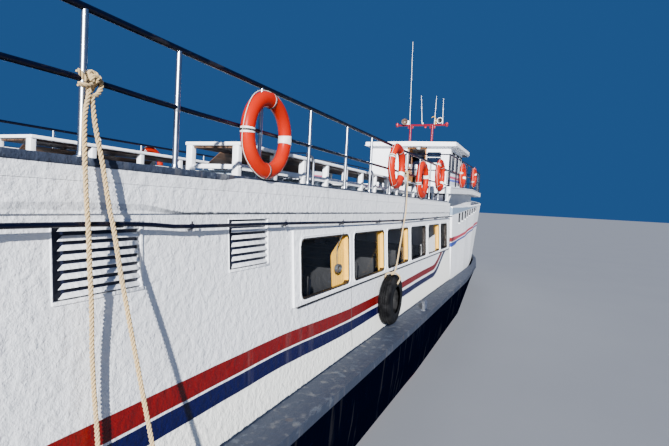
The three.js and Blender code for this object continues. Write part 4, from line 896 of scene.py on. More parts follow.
class FERRY_OT_grab_pipes(bpy.types.Operator):
    """Grab pipes on small welded brackets along the cabin sides"""

    bl_idname = "ferry.grab_pipes"
    bl_label = "Grab pipes"

    def execute(self, context):
        z = 2.835
        y = wall_y(z) - 0.075
        parts = [tubes([smoothed([(x, wall_y(h) - 0.075, h) for x, h in PIPE], 0.2)], 0.015, 14)]

        def at_pipe(x):
            rise = along(PIPE, x, 1) - z
            return x, rise * math.tan(LEAN), rise

        stay = [(0, y, z - 0.01), (0.02, y + 0.035, z - 0.025), (0.045, wall_y(z - 0.03), z - 0.03)]
        collar = turned([(0.017, -0.014), (0.0185, -0.01), (0.0185, 0.01), (0.017, 0.014)], 16)
        foot = joined([
            tubes([stay], 0.0075, 8),
            tubes([[(0, y, z - 0.03), (0, y, z + 0.035)]], 0.006, 8),
            moved(collar, (0, y, z), (1, 0, 0)),
        ])
        for x in (-13, -11.5, -10.2, -9.3, -7.9, -6.6, -5.2, -3.8, -2.4, -1, 0.4, 1.8):
            parts.append(shifted(foot, *at_pipe(x)))
        for x in (-8.52, -3.1, 1.1):
            sleeve = turned([(0.0155, -0.035), (0.0185, -0.03), (0.0185, 0.03), (0.0155, 0.035)], 16)
            parts.append(moved(sleeve, Vector((0, y, z)) + Vector(at_pipe(x)), (1, 0, 0)))
        bpy.data.objects.remove(foot)
        pipe = coated(joined(parts), "rail coat")
        fitted_both(pipe, "grab_pipe_bracketed_", "grab_pipe_")
        return {"FINISHED"}


class FERRY_OT_louvres(bpy.types.Operator):
    """Slatted air openings in the cabin sides"""

    bl_idname = "ferry.louvres"
    bl_label = "Louvres"

    def execute(self, context):
        face, low, high, width = -2.88, 2.475, 2.87, 0.575
        parts = []
        for x0, count in ((-8.865, context.scene.ferry_sizes.slats), (-7.385, 7)):
            corner = (x0 + width - 0.002, face + 0.0275, high - 0.002)
            # the back plate and the aft cheek are near-black: painted shade inside the recess
            back = block((x0 + 0.002, face + 0.022, low + 0.002), corner, 0.001)
            parts.append(coated(back, "painted shade"))
            cheek = block((x0 + 0.001, face - 0.004, low), (x0 + 0.007, face + 0.024, high), 0.001)
            parts.append(coated(cheek, "painted shade"))
            pitch = (high - low) / count
            half = pitch * 0.31
            blade = block((x0 + 0.05, -0.003, -half), (x0 + width - 0.006, 0.003, half), 0.0015)
            for vertex in blade.data.vertices:
                if vertex.co.x < x0 + 0.1:
                    vertex.co.x += 0.02 * vertex.co.z / half
            coated(blade, "white coat")
            tilt = turned_by(-32, "X")
            for i in range(count):
                spot = Matrix.Translation((0, face + 0.006, low + pitch * (i + 0.45)))
                parts.append(copied(blade, spot @ tilt))
            bpy.data.objects.remove(blade)
            rim = 0.02
            for lo, hi in (
                ((x0 - 0.004, face - 0.008, low - rim), (x0 + width + rim, face + 0.004, low)),
                ((x0 + width, face - 0.008, low), (x0 + width + rim, face + 0.004, high + 0.004)),
                ((x0 - 0.006, face - 0.006, low), (x0 + 0.001, face + 0.004, high + 0.004)),
                ((x0 - 0.006, face - 0.01, high), (x0 + width + rim, face + 0.004, high + 0.008)),
            ):
                parts.append(coated(block(lo, hi, 0.002), "white coat"))
        louvre = joined(parts)
        louvre.data.transform(LEANT)
        fitted_both(louvre, "louvres_")
        return {"FINISHED"}


def upright_loop(x0, z0, x1, z1, r, y):
    """A rounded rectangle that faces a side of the boat."""
    return [(u, y, v) for u, v in rounded_loop(x0, z0, x1, z1, r)]


def crosswise_loop(y0, z0, y1, z1, r, x):
    """A rounded rectangle that faces an end of the boat."""
    return [(x, u, v) for u, v in rounded_loop(y0, z0, y1, z1, r)]


def pane(loop, direction, thick=0.006):
    """A sheet of glass filled from a loop of corner points and given its thickness."""
    rest()
    bpy.ops.mesh.primitive_circle_add(vertices=len(loop), radius=1, fill_type="NGON")
    o = bpy.context.object
    for vertex, co in zip(o.data.vertices, loop):
        vertex.co = co
    open_mesh(o, everything=True)
    bpy.ops.mesh.extrude_region_move(TRANSFORM_OT_translate={"value": tuple(Vector(direction) * thick)})
    close_mesh()
    return sound(o)


class FERRY_OT_windows(bpy.types.Operator):
    """Seals, glass and the black seam under the row of windows"""

    bl_idname = "ferry.windows"
    bl_label = "Windows"

    def execute(self, context):
        loops = [
            upright_loop(a, WINDOW_LOW, b, WINDOW_HIGH, WINDOW_CORNER, -2.896) for a, b in WINDOWS
        ]
        seals = [tubes(loops, 0.01, 8, closed=True)]
        seals += [block((a - 0.032, -2.903, 2.11), (a + 0.002, -2.898, 2.59), 0.002) for a, b in WINDOWS]
        # a black strip under the windows: a dark seam, and painted shade under the frames' lower edge
        seals.append(block((-6.28, -2.903, 1.969), (2.25, -2.87, 1.991), 0.003))
        seals.append(block((-4.775, -2.884, 1.2), (-4.771, -2.875, 1.98), 0.001))
        trim = coated(joined(seals), "black seal")
        rim = 0.028
        flange = [
            upright_loop(a - rim, WINDOW_LOW - rim, b + rim, WINDOW_HIGH + rim, 0.09, -2.9)
            for a, b in WINDOWS
        ]
        edge = coated(tubes(flange, 0.006, 8, closed=True), "smooth white")
        trim = joined([trim, edge])
        trim.data.transform(LEANT)
        fitted_both(trim, "window_seals_")

        seals, glazing = [], []
        for x in (3.6, 5.2, 6.8, 8.4):
            loop = upright_loop(x, 2.25, x + 1.1, 2.85, 0.08, -2.2)
            seals.append(tubes([loop], 0.009, 8, closed=True))
            glazing.append(pane([(u, -2.185, w) for u, v, w in loop], (0, 1, 0)))
        side_seals, side_glass = both(joined(seals)), both(joined(glazing))
        front = [crosswise_loop(y, 2.25, y + 0.9, 2.85, 0.08, 10.6) for y in (-1.5, -0.45, 0.6)]
        aft = [
            crosswise_loop(y, WINDOW_LOW, y + 1.1, WINDOW_HIGH, WINDOW_CORNER, -13.602)
            for y in (-2.05, 0.95)
        ]
        seals = joined([side_seals, tubes(front + aft, 0.009, 8, closed=True)])
        fitted(coated(seals, "black seal"), "end_window_seals")
        glazing = [side_glass]
        glazing += [pane([(10.585, v, w) for u, v, w in loop], (-1, 0, 0)) for loop in front]
        glazing += [pane([(-13.585, v, w) for u, v, w in loop], (1, 0, 0)) for loop in aft]
        fitted(coated(joined(glazing), "dark glass"), "end_windows")
        return {"FINISHED"}


CURTAINS = ((-4.78, 1.5, 0.74), (-3.25, 0.7, 0), (-1.8, 0.58, 0), (1.02, 0.55, 0))


class FERRY_OT_curtains(bpy.types.Operator):
    """Gathered curtains on rods inside the cabin windows, and the pull of the first one"""

    bl_idname = "ferry.curtains"
    bl_label = "Curtains"

    def execute(self, context):
        tall, y, depth = 0.67, -2.823, 0.009
        for i, (fore, share, caught) in enumerate(CURTAINS):
            width = context.scene.ferry_sizes.curtain_width * share
            folds = round(width / 0.06)
            steps = folds * 8
            rest()
            bpy.ops.mesh.primitive_grid_add(x_subdivisions=steps, y_subdivisions=16, size=1)
            cloth = bpy.context.object
            for vertex in cloth.data.vertices:
                u, v = vertex.co.x + 0.5, vertex.co.y + 0.5
                fold = depth * (1.15 - 0.35 * v) * math.sin(u * folds * TURN + 0.5 * math.sin(5 * u))
                drawn = 1 - 0.08 * (1 - v) - caught * min(1, max(0, (v - 0.6) / 0.29))
                vertex.co = (fore - width * (1 - u) * drawn, y + fold, 2.03 + tall * v)
            cloth.data.transform(LEANT)
            coated(cloth, "curtain cloth")
            for side, piece in (("port", to_port(cloth)), ("starboard", cloth)):
                fitted(piece, f"curtain_{side}_{i + 1}", angle=80)
        rod = tubes([[(-6.3, y, 2.712), (2.2, y, 2.712)]], 0.008, 10)
        rod.data.transform(LEANT)
        coated(rod, "post steel")
        fitted_both(rod, "curtain_rod_")
        pull = [(-5.0, -2.775, 2.7), (-5.2, -2.8, 2.59), (-5.28, -2.806, 2.5), (-5.27, -2.81, 2.3)]
        coil = [
            (-5.235 + 0.07 * math.cos(a), -2.812 + 0.012 * math.sin(0.7 * a), 2.26 + 0.042 * math.sin(a))
            for a in (k * TURN / 12 for k in range(44))
        ]
        pull = joined([tubes([smoothed(pull, 0.02)], 0.006, 8), tubes([coil], 0.012, 8)])
        fitted(coated(pull, "iron coat"), "curtain_pull")
        return {"FINISHED"}


def rail_knot(x, radius, reach, swell):
    """A rope wound twice round the middle rail, with three crossings."""
    points = []
    for i in range(61):
        t = TURN * i / 60
        out = reach + swell * math.cos(3 * t)
        a = 2 * t + 2.2
        shift = swell * 1.35 * math.sin(3 * t)
        points.append((x + shift, RAIL_Y + out * math.cos(a), RAIL_MID + out * math.sin(a)))
    return laid(points, radius)


THICK_ROUTES = (
    (
        (-8.669, -2.754, 3.571), (-8.673, -2.757, 3.54), (-8.707, -2.776, 3.42), (-8.723, -2.802, 3.25),
        (-8.732, -2.832, 3.04), (-8.738, -2.864, 2.84), (-8.722, -2.862, 2.65), (-8.702, -2.86, 2.44),
        (-8.69, -2.861, 2.18), (-8.674, -2.866, 1.96), (-8.655, -2.876, 1.74), (-8.645, -2.892, 1.5),
        (-8.642, -2.93, 1.29), (-8.65, -3.01, 1.19), (-8.662, -3.1, 1.166), (-8.676, -3.238, 1.166),
        (-8.684, -3.29, 1.11), (-8.69, -3.345, 1.03), (-8.69, -3.444, 0.89), (-8.69, -3.45, 0.732),
        (-8.666, -3.444, 0.69), (-8.652, -3.367, 0.67),
    ),
    (
        (-8.649, -2.758, 3.543), (-8.652, -2.764, 3.5), (-8.646, -2.778, 3.405), (-8.633, -2.793, 3.297),
        (-8.616, -2.812, 3.176), (-8.592, -2.842, 2.952), (-8.579, -2.866, 2.835), (-8.577, -2.914, 2.64),
        (-8.573, -2.966, 2.442), (-8.563, -3.02, 2.22), (-8.544, -3.074, 1.969), (-8.523, -3.13, 1.709),
        (-8.504, -3.196, 1.42), (-8.488, -3.262, 1.19), (-8.476, -3.37, 1.03), (-8.47, -3.444, 0.89),
        (-8.47, -3.45, 0.732), (-8.494, -3.444, 0.69), (-8.508, -3.367, 0.67),
    ),
)
KNOT = (  # tail, wrap over the post, hank over the rail, eye
    ((-8.744, -2.76, 3.657), (-8.724, -2.762, 3.642), (-8.704, -2.764, 3.622), (-8.696, -2.764, 3.613)),
    (
        (-8.731, -2.75, 3.59), (-8.71, -2.756, 3.588), (-8.68, -2.758, 3.594), (-8.65, -2.752, 3.606),
        (-8.628, -2.735, 3.62),
    ),
    (
        (-8.669, -2.75, 3.585), (-8.658, -2.752, 3.627), (-8.656, -2.746, 3.653), (-8.644, -2.728, 3.672),
        (-8.619, -2.726, 3.674), (-8.596, -2.738, 3.653), (-8.587, -2.748, 3.623), (-8.594, -2.752, 3.594),
        (-8.609, -2.756, 3.569), (-8.628, -2.758, 3.551), (-8.649, -2.758, 3.543),
    ),
    (
        (-8.66, -2.764, 3.62), (-8.655, -2.768, 3.645), (-8.636, -2.768, 3.65), (-8.627, -2.766, 3.632),
        (-8.64, -2.764, 3.618),
    ),
)


class FERRY_OT_ropes(bpy.types.Operator):
    """Three-strand fender ropes with their knots on the middle rail"""

    bl_idname = "ferry.ropes"
    bl_label = "Fender ropes"

    def execute(self, context):
        sizes = context.scene.ferry_sizes
        thick, thin = sizes.thick_rope, sizes.thin_rope
        parts = [laid(route, thick) for route in THICK_ROUTES]
        parts.append(rail_knot(-8.615, thick, 0.037, 0.01))
        parts += [laid(route, thick) for route in KNOT]
        ropes = coated(joined(parts), "laid rope")
        fitted(ropes, "laid_ropes_aft", stands_for=["fender_ropes_aft"], angle=80)

        route = [
            (-1.975, RAIL_Y - 0.03, RAIL_MID), (-2.012, -2.74, 3.56), (-2.4, -2.846, 2.985),
            (-2.585, -2.878, 2.79), (-2.876, -2.92, 2.486), (-3.2, -2.967, 2.15), (-3.33, -2.98, 2.04),
            (-3.4, -2.95, 2.007), (-3.43, -2.9, 2.003), (-3.436, -2.862, 1.97), (-3.436, -2.857, 1.87),
            (-3.436, -2.86, 1.815), (-3.43, -2.9, 1.788), (-3.42, -2.97, 1.782),
        ]
        wrap = [
            (-3.53, -2.98, 2.002), (-3.49, -3.0, 2.006), (-3.44, -2.99, 2.014), (-3.38, -2.99, 2.01),
            (-3.34, -3.02, 1.988), (-3.34, -3.06, 1.955), (-3.39, -3.082, 1.925), (-3.46, -3.085, 1.9),
            (-3.53, -3.085, 1.872),
        ]
        parts = [laid(route, thin), laid(wrap, thin), rail_knot(-1.975, thin, 0.033, 0.008)]
        rope = coated(joined(parts), "laid rope")
        fitted(rope, "laid_rope_fore", stands_for=["fender_rope_fore"], angle=80)
        return {"FINISHED"}


class FERRY_OT_tyres(bpy.types.Operator):
    """Worn tyres with grooved treads, spun from their section"""

    bl_idname = "ferry.tyres"
    bl_label = "Tyre fenders"

    def execute(self, context):
        half = [
            (0.205, 0.094), (0.215, 0.0945), (0.235, 0.089), (0.27, 0.0935), (0.3, 0.0945), (0.33, 0.091),
            (0.352, 0.083), (0.367, 0.07), (0.3745, 0.06), (0.3745, 0.056), (0.366, 0.054), (0.366, 0.048),
            (0.3765, 0.046), (0.379, 0.03), (0.379, 0.022), (0.369, 0.02), (0.369, 0.012), (0.3795, 0.01),
        ]
        inner = [
            (0.36, -0.03), (0.352, -0.062), (0.33, -0.076), (0.28, -0.084), (0.235, -0.078), (0.21, -0.08),
        ]
        section = half + [(r, -y) for r, y in reversed(half)] + [(r, y) for r, y in reversed(inner)]
        section += [(r, -y) for r, y in inner]
        rest()
        bpy.ops.mesh.primitive_circle_add(vertices=len(section), radius=1)
        tyre = bpy.context.object
        for vertex, (r, y) in zip(tyre.data.vertices, section):
            vertex.co = (r, y, 0)
        open_mesh(tyre)
        bpy.ops.mesh.select_mode(type="EDGE")
        bpy.ops.mesh.select_all(action="SELECT")
        bpy.ops.mesh.spin(steps=72, angle=TURN, center=(0, 0, 0), axis=(0, 1, 0))
        close_mesh()
        sound(tyre)
        lug = block((0.372, -0.012, -0.004), (0.3815, 0.012, 0.004), 0.001)
        lugs = []
        for i in range(60):
            a = Matrix.Rotation(TURN * i / 60, 4, "Y")
            for y, slant in ((-0.038, -0.5), (0.038, 0.5)):
                spot = Matrix.Translation((-0.001, y, 0)) @ Matrix.Rotation(slant, 4, "X")
                lugs.append(copied(lug, a @ spot))
        bpy.data.objects.remove(lug)
        tyre = coated(joined([tyre, *lugs]), "tyre rubber")
        for name in ("tyre_fender_fore", "tyre_fender_aft"):
            low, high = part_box(name)
            piece = copied(tyre, Matrix.Translation((low + high) / 2))
            fitted(piece, f"{name}_treaded", stands_for=[name])
        bpy.data.objects.remove(tyre)
        return {"FINISHED"}


class FERRY_OT_life_rings(bpy.types.Operator):
    """Life rings with tape bands, seized cords and grab lines"""

    bl_idname = "ferry.life_rings"
    bl_label = "Life rings"

    def execute(self, context):
        middle, r = 0.306, 0.066
        bands = {0: 0.105, 84: 0.055, 180: 0.095, 268: 0.05}  # degrees round, half width in radians
        rest()
        bpy.ops.mesh.primitive_torus_add(
            major_segments=96, minor_segments=20, major_radius=middle, minor_radius=r,
            rotation=(math.pi / 2, 0, 0),
        )
        shell = bpy.context.object
        bpy.ops.object.transform_apply(location=True, rotation=True, scale=True)
        coated(shell, "ring shell")
        shell.data.materials.append(FINISHES["white tape"])

        def on_band(p):
            a = math.atan2(p.z, p.x) + math.pi
            return any(abs((a - math.radians(b)) % TURN - math.pi) < half for b, half in bands.items())

        open_mesh(shell)
        pick(shell, on_band)
        bpy.ops.mesh.extrude_region_shrink_fatten(TRANSFORM_OT_shrink_fatten={"value": 0.0025})
        shell.active_material_index = 1
        bpy.ops.object.material_slot_assign()
        close_mesh()
        seizings, line = [], []
        angles = [math.radians(b) for b in bands]
        for b, c in zip(angles, angles[1:] + [TURN]):
            if b:
                for off in (-0.012, 0.012):
                    out, wide = Vector((math.cos(b + off), 0, math.sin(b + off))), r + 0.004
                    seizings.append([
                        out * (middle + wide * math.cos(t)) + Vector((0, wide * math.sin(t), 0))
                        for t in (i * TURN / 20 for i in range(20))
                    ])
            for i in range(12):
                t = i / 12
                a = b + (c - b) * t
                out = middle + r + 0.004 + 0.008 * math.sin(math.pi * t)
                line.append((out * math.cos(a), 0.012 * math.sin(TURN * t), out * math.sin(a)))
        cords = coated(tubes(seizings, 0.004, 6, closed=True), "black seal")
        grab = coated(tubes([line], 0.0033, 8, closed=True), "white line")
        ring = joined([shell, cords, grab])
        ring.data.transform(Matrix.Diagonal((1, 0.865, 1, 1)))
        for i, name in enumerate(sorted(n for n in NODES if n.startswith("life_ring"))):
            low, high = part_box(name)
            turn = turned_by((0, 24, -15, 40, 10, -30, 55)[i], "Y")
            piece = copied(ring, Matrix.Translation((low + high) / 2) @ turn)
            fitted(piece, f"{name}_roped", stands_for=[name])
        bpy.data.objects.remove(ring)
        return {"FINISHED"}


class FERRY_OT_benches(bpy.types.Operator):
    """Upper deck benches with planked undersides and lockers"""

    bl_idname = "ferry.benches"
    bl_label = "Benches"

    def execute(self, context):
        top, thick, leg, inset = 3.56, 0.036, 0.07, 0.015
        for name, x0, x1, y0, y1 in (
            ("bench_starboard", -6.75, 0.7, -2.39, -1.75),
            ("bench_centre", -7.3, -1.5, -0.3, 0.3),
            ("bench_port", -6.75, 0.7, 1.75, 2.39),
        ):
            count = round((x1 - x0 - leg) / 0.68)
            step = (x1 - x0 - leg) / count
            parts = [coated(block((x0, y0, top - thick), (x1, y1, top), 0.01, 3), "smooth white")]
            post = block((0, 0, DECK_TOP), (leg, leg, top - thick + 0.004), 0.012, 3)
            knob = turned([(0.011, 0), (0.011, 0.004), (0.008, 0.008), (0.003, 0.01)], 12)
            moved(knob, (leg / 2, 0.001, 3.33), (0, -1, 0))
            foot = block((-0.012, -0.012, DECK_TOP), (leg + 0.012, leg + 0.012, 3.178), 0.003)
            post = coated(joined([post, knob, foot]), "smooth white")
            end = inset + leg - 0.01
            cross = block((0.015, end, 3.305), (0.055, 0.6 - end, 3.35), 0.008)
            coated(cross, "smooth white")
            for i in range(count + 1):
                x = x0 + i * step
                for y in (y0 + inset, y1 - inset - leg):
                    parts.append(copied(post, Matrix.Translation((x, y, 0))))
                if i % 2 == 0 or i == count:
                    parts.append(copied(cross, Matrix.Translation((x, y0, 0))))
            bpy.data.objects.remove(post)
            bpy.data.objects.remove(cross)
            rung = block((x0 + 0.01, y0 + 0.03, 3.3), (x1 - 0.01, y0 + 0.065, 3.36), 0.008)
            parts.append(coated(rung, "smooth white"))
            # planks under the top: dark brown wood, darkened further as painted shade under the top
            for i in range(4):
                y = y0 + 0.035 + i * 0.135
                below = top - thick - 0.002
                plank = block((x0 + 0.03, y, below - 0.02), (x1 - 0.03, y + 0.12, below), 0.003)
                parts.append(coated(plank, "brown planks"))
            # a dark board slanting under the top: painted shade, the slanted shadow under the bench
            board = block((x0 + 0.1, -0.004, -0.1), (x0 + 1.9, 0.004, 0.1), 0.002)
            place = Matrix.Translation((0, (y0 + y1) / 2 + 0.05, 3.41))
            board.data.transform(place @ Matrix.Rotation(0.9, 4, "X"))
            parts.append(coated(board, "brown planks"))
            for i in range(int((x1 - x0) / 1.36)):
                x = x0 + 0.12 + i * 1.36
                box = block((x, y0 + 0.12, DECK_TOP), (x + 0.95, y1 - 0.1, 3.285), 0.01)
                lid = block((x - 0.012, y0 + 0.108, 3.285), (x + 0.962, y1 - 0.088, 3.3), 0.004)
                parts.append(coated(joined([box, lid]), "box coat"))
            fitted(joined(parts), f"{name}_planked", stands_for=[name])
        return {"FINISHED"}


class FERRY_OT_bow(bpy.types.Operator):
    """Rail cap and fairleads of the bow bulwark"""

    bl_idname = "ferry.bow"
    bl_label = "Bow"

    def execute(self, context):
        half = [(x - 0.03 * (x > 16), -y + 0.035, z - 0.012) for x, y, z in BULWARK_TOP]
        route = smoothed(half + [(x, -y, z) for x, y, z in half[::-1]], 0.12)
        cap = tubes([route], 0.036, 12)
        fitted(coated(cap, "smooth white"), "bulwark_cap")
        lead = joined([
            tubes([upright_loop(-0.16, -0.07, 0.16, 0.07, 0.06, -0.02)], 0.022, 10, closed=True),
            block((-0.2, -0.012, -0.11), (0.2, 0.0, 0.11), 0.004),
        ])
        coated(lead, "iron coat")
        leads = []
        for x in (12.2, 14.0):
            y = -along(BULWARK_TOP, x, 1) + 0.2
            slope = math.atan2(along(BULWARK_TOP, x + 0.5, 1) - along(BULWARK_TOP, x - 0.5, 1), -1)
            place = Matrix.Translation((x, y + 0.06, 2.72))
            leads.append(copied(lead, place @ Matrix.Rotation(math.pi - slope, 4, "Z")))
        bpy.data.objects.remove(lead)
        fitted(both(joined(leads)), "bow_fairleads")
        return {"FINISHED"}


class FERRY_OT_bridge(bpy.types.Operator):
    """Striped boards, net panels, the back board and the bead of the bridge deck"""

    bl_idname = "ferry.bridge"
    bl_label = "Bridge deck"

    def execute(self, context):
        parts = []
        marks = {"faded board": (0.05, 0.41), "red board": (0.23, 0.29), "blue board": (0.15, 0.205)}
        for finish, (low, high) in marks.items():
            out = 0.0 if finish == "faded board" else 0.003
            for x0, x1 in ((2.67, 4.5), (4.53, 6.38)):
                board = block((x0, -0.005 - out, low), (x1, 0.005 + out, high), 0.002)
                for vertex in board.data.vertices:
                    x = vertex.co.x
                    vertex.co.y += -along(BRIDGE, x, 1) + 0.1
                    vertex.co.z += along(BRIDGE, x, 2)
                parts.append(coated(board, finish))
        fitted(both(joined(parts)), "bridge_boards")
        # a near-black board across the aft end under the bridge deck: painted shade of the space beneath it
        board = block((2.322, -2.65, 3.1715), (2.335, 2.65, 3.492), 0.002)
        fitted(coated(board, "painted shade"), "bridge_back_board")

        wires = []
        z0, z1 = 3.8, 4.6
        line = [(x, BRIDGE_INSET - along(BRIDGE, x, 1)) for x in BRIDGE_POSTS] + [(12.45, -1.99)]
        for i in range(24):
            x = 10.55 + 1.9 * i / 23
            y = along(line, x, 1) + 0.012
            wires.append([(x, y, z0), (x, y, z1)])
        for i in range(10):
            z = z0 + (z1 - z0) * i / 9
            wires.append([(10.55, -2.366, z), (11.8, -2.346, z), (12.45, -1.978, z)])
        net = coated(tubes(wires, 0.003, 4), "post steel")
        fitted(both(net), "bridge_nets")

        edge = [(x, -y - 0.004, z - 0.015) for x, y, z in BRIDGE]
        loop = edge + [(x, -y, z) for x, y, z in edge[::-1]]
        bead = tubes([loop], 0.014, 10, closed=True)
        fitted(coated(bead, "smooth white"), "bridge_edge_bead")
        return {"FINISHED"}


class FERRY_OT_wheelhouse(bpy.types.Operator):
    """Window seals and glass, door frame, locker, lamp, dome and desk instruments"""

    bl_idname = "ferry.wheelhouse"
    bl_label = "Wheelhouse"

    def execute(self, context):
        seals, glazing = [], []
        for x in (8.85, 9.8):
            loop = upright_loop(x, 4.48, x + 0.8, 5.26, 0.06, -1.61)
            seals.append(tubes([loop], 0.012, 8, closed=True))
            glazing.append(pane([(u, -1.59, w) for u, v, w in loop], (0, 1, 0)))
            bar = block((x + 0.38, -1.602, 4.48), (x + 0.42, -1.58, 5.26), 0.004)
            seals.append(bar)
        corner = [(10.82, 4.48), (11.09, 4.48), (11.28, 5.26), (10.82, 5.26)]
        seals.append(tubes([[(x, -1.61, z) for x, z in corner]], 0.012, 8, closed=True))
        glazing.append(pane([(x, -1.59, z) for x, z in corner], (0, 1, 0)))
        seals, glazing = both(joined(seals)), both(joined(glazing))
        aft = crosswise_loop(-1.23, 4.8, -0.69, 5.2, 0.05, HOUSE_AFT)
        aft_bar = block((8.492, -1.23, 4.99), (8.51, -0.69, 5.012), 0.003)
        seals = coated(joined([seals, tubes([aft], 0.012, 8, closed=True)]), "black seal")
        seals = joined([seals, coated(aft_bar, "smooth white")])
        fitted(seals, "wheelhouse_seals")
        glazing = joined([glazing, pane([(8.52, v, w) for u, v, w in aft], (1, 0, 0))])
        fitted(coated(glazing, "house glass"), "wheelhouse_panes")

        parts = []
        for lo, hi in (
            ((8.484, -0.665, 3.86), (8.545, -0.605, 5.395)),
            ((8.484, 0.06, 3.86), (8.5, 0.12, 5.395)),
            ((8.484, -0.665, 5.33), (8.545, 0.12, 5.395)),
            ((8.486, -0.62, 3.79), (8.55, 0.075, 3.87)),
        ):
            parts.append(block(lo, hi, 0.006))
        frame_wood = coated(joined(parts), "varnished wood")
        locker = block((8.95, 0.16, 3.785), (9.75, 1.4, 4.62), 0.012)
        frame_wood = joined([frame_wood, coated(locker, "light wood")])
        fitted(frame_wood, "wheelhouse_joinery")

        # a near-black plate under the roof's front: painted shade of the overhang
        visor = block((11.45, -1.7, 5.395), (12.2, 1.7, 5.419), 0.006)
        edge = [(8.25, -1.845), (11.7, -1.865), (12.26, -1.74)]
        edge += [(x, -y) for x, y in reversed(edge)]
        gutter = tubes([[(x, y, 5.44) for x, y in edge]], 0.016, 10)
        fitted(coated(gutter, "smooth white"), "roof_gutter")
        fitted(coated(visor, "painted shade"), "roof_visor")
        lamp = joined([
            coated(moved(turned(profile), (8.38, -0.35, 5.419)), finish)
            for profile, finish in (
                ([(0.1, 0), (0.11, -0.02), (0.1, -0.05)], "post steel"),
                ([(0.085, -0.05), (0.08, -0.09), (0.05, -0.12), (0.01, -0.13)], "clear lens"),
            )
        ])
        fitted(lamp, "door_lamp")
        profile = [(0.17, 0), (0.19, 0.02), (0.19, 0.1), (0.185, 0.14), (0.16, 0.19)]
        profile += [(0.11, 0.225), (0.05, 0.24), (0.01, 0.243)]
        dome = turned(profile, 32)
        moved(dome, (11.9, -1.25, 5.57))
        fitted(coated(dome, "white fibreglass"), "satellite_dome", angle=60)

        desk = []
        for y in (-0.75, -0.35, 0.35, 0.8):
            unit = block((10.62, y - 0.16, 4.7), (10.72, y + 0.16, 4.94), 0.01)
            face = block((10.614, y - 0.14, 4.72), (10.622, y + 0.14, 4.92), 0.003)
            desk += [coated(unit, "seat frame"), coated(face, "dark screen")]
        for i in range(7):
            dial = turned([(0.04, 0), (0.042, 0.006), (0.036, 0.01)], 20)
            moved(dial, (10.54, -0.72 + 0.24 * i, 4.645), (-0.52, 0, 0.85))
            desk.append(coated(dial, "post steel"))
        for y in (-0.55, -0.48):
            lever = joined([
                tubes([[(10.5, y, 4.6), (10.44, y, 4.8)]], 0.009, 8),
                moved(turned([(0.01, 0), (0.02, 0.01), (0.02, 0.03), (0.008, 0.04)], 12), (10.44, y, 4.79)),
            ])
            desk.append(coated(lever, "mast coat"))
        fitted(joined(desk), "desk_instruments")
        return {"FINISHED"}


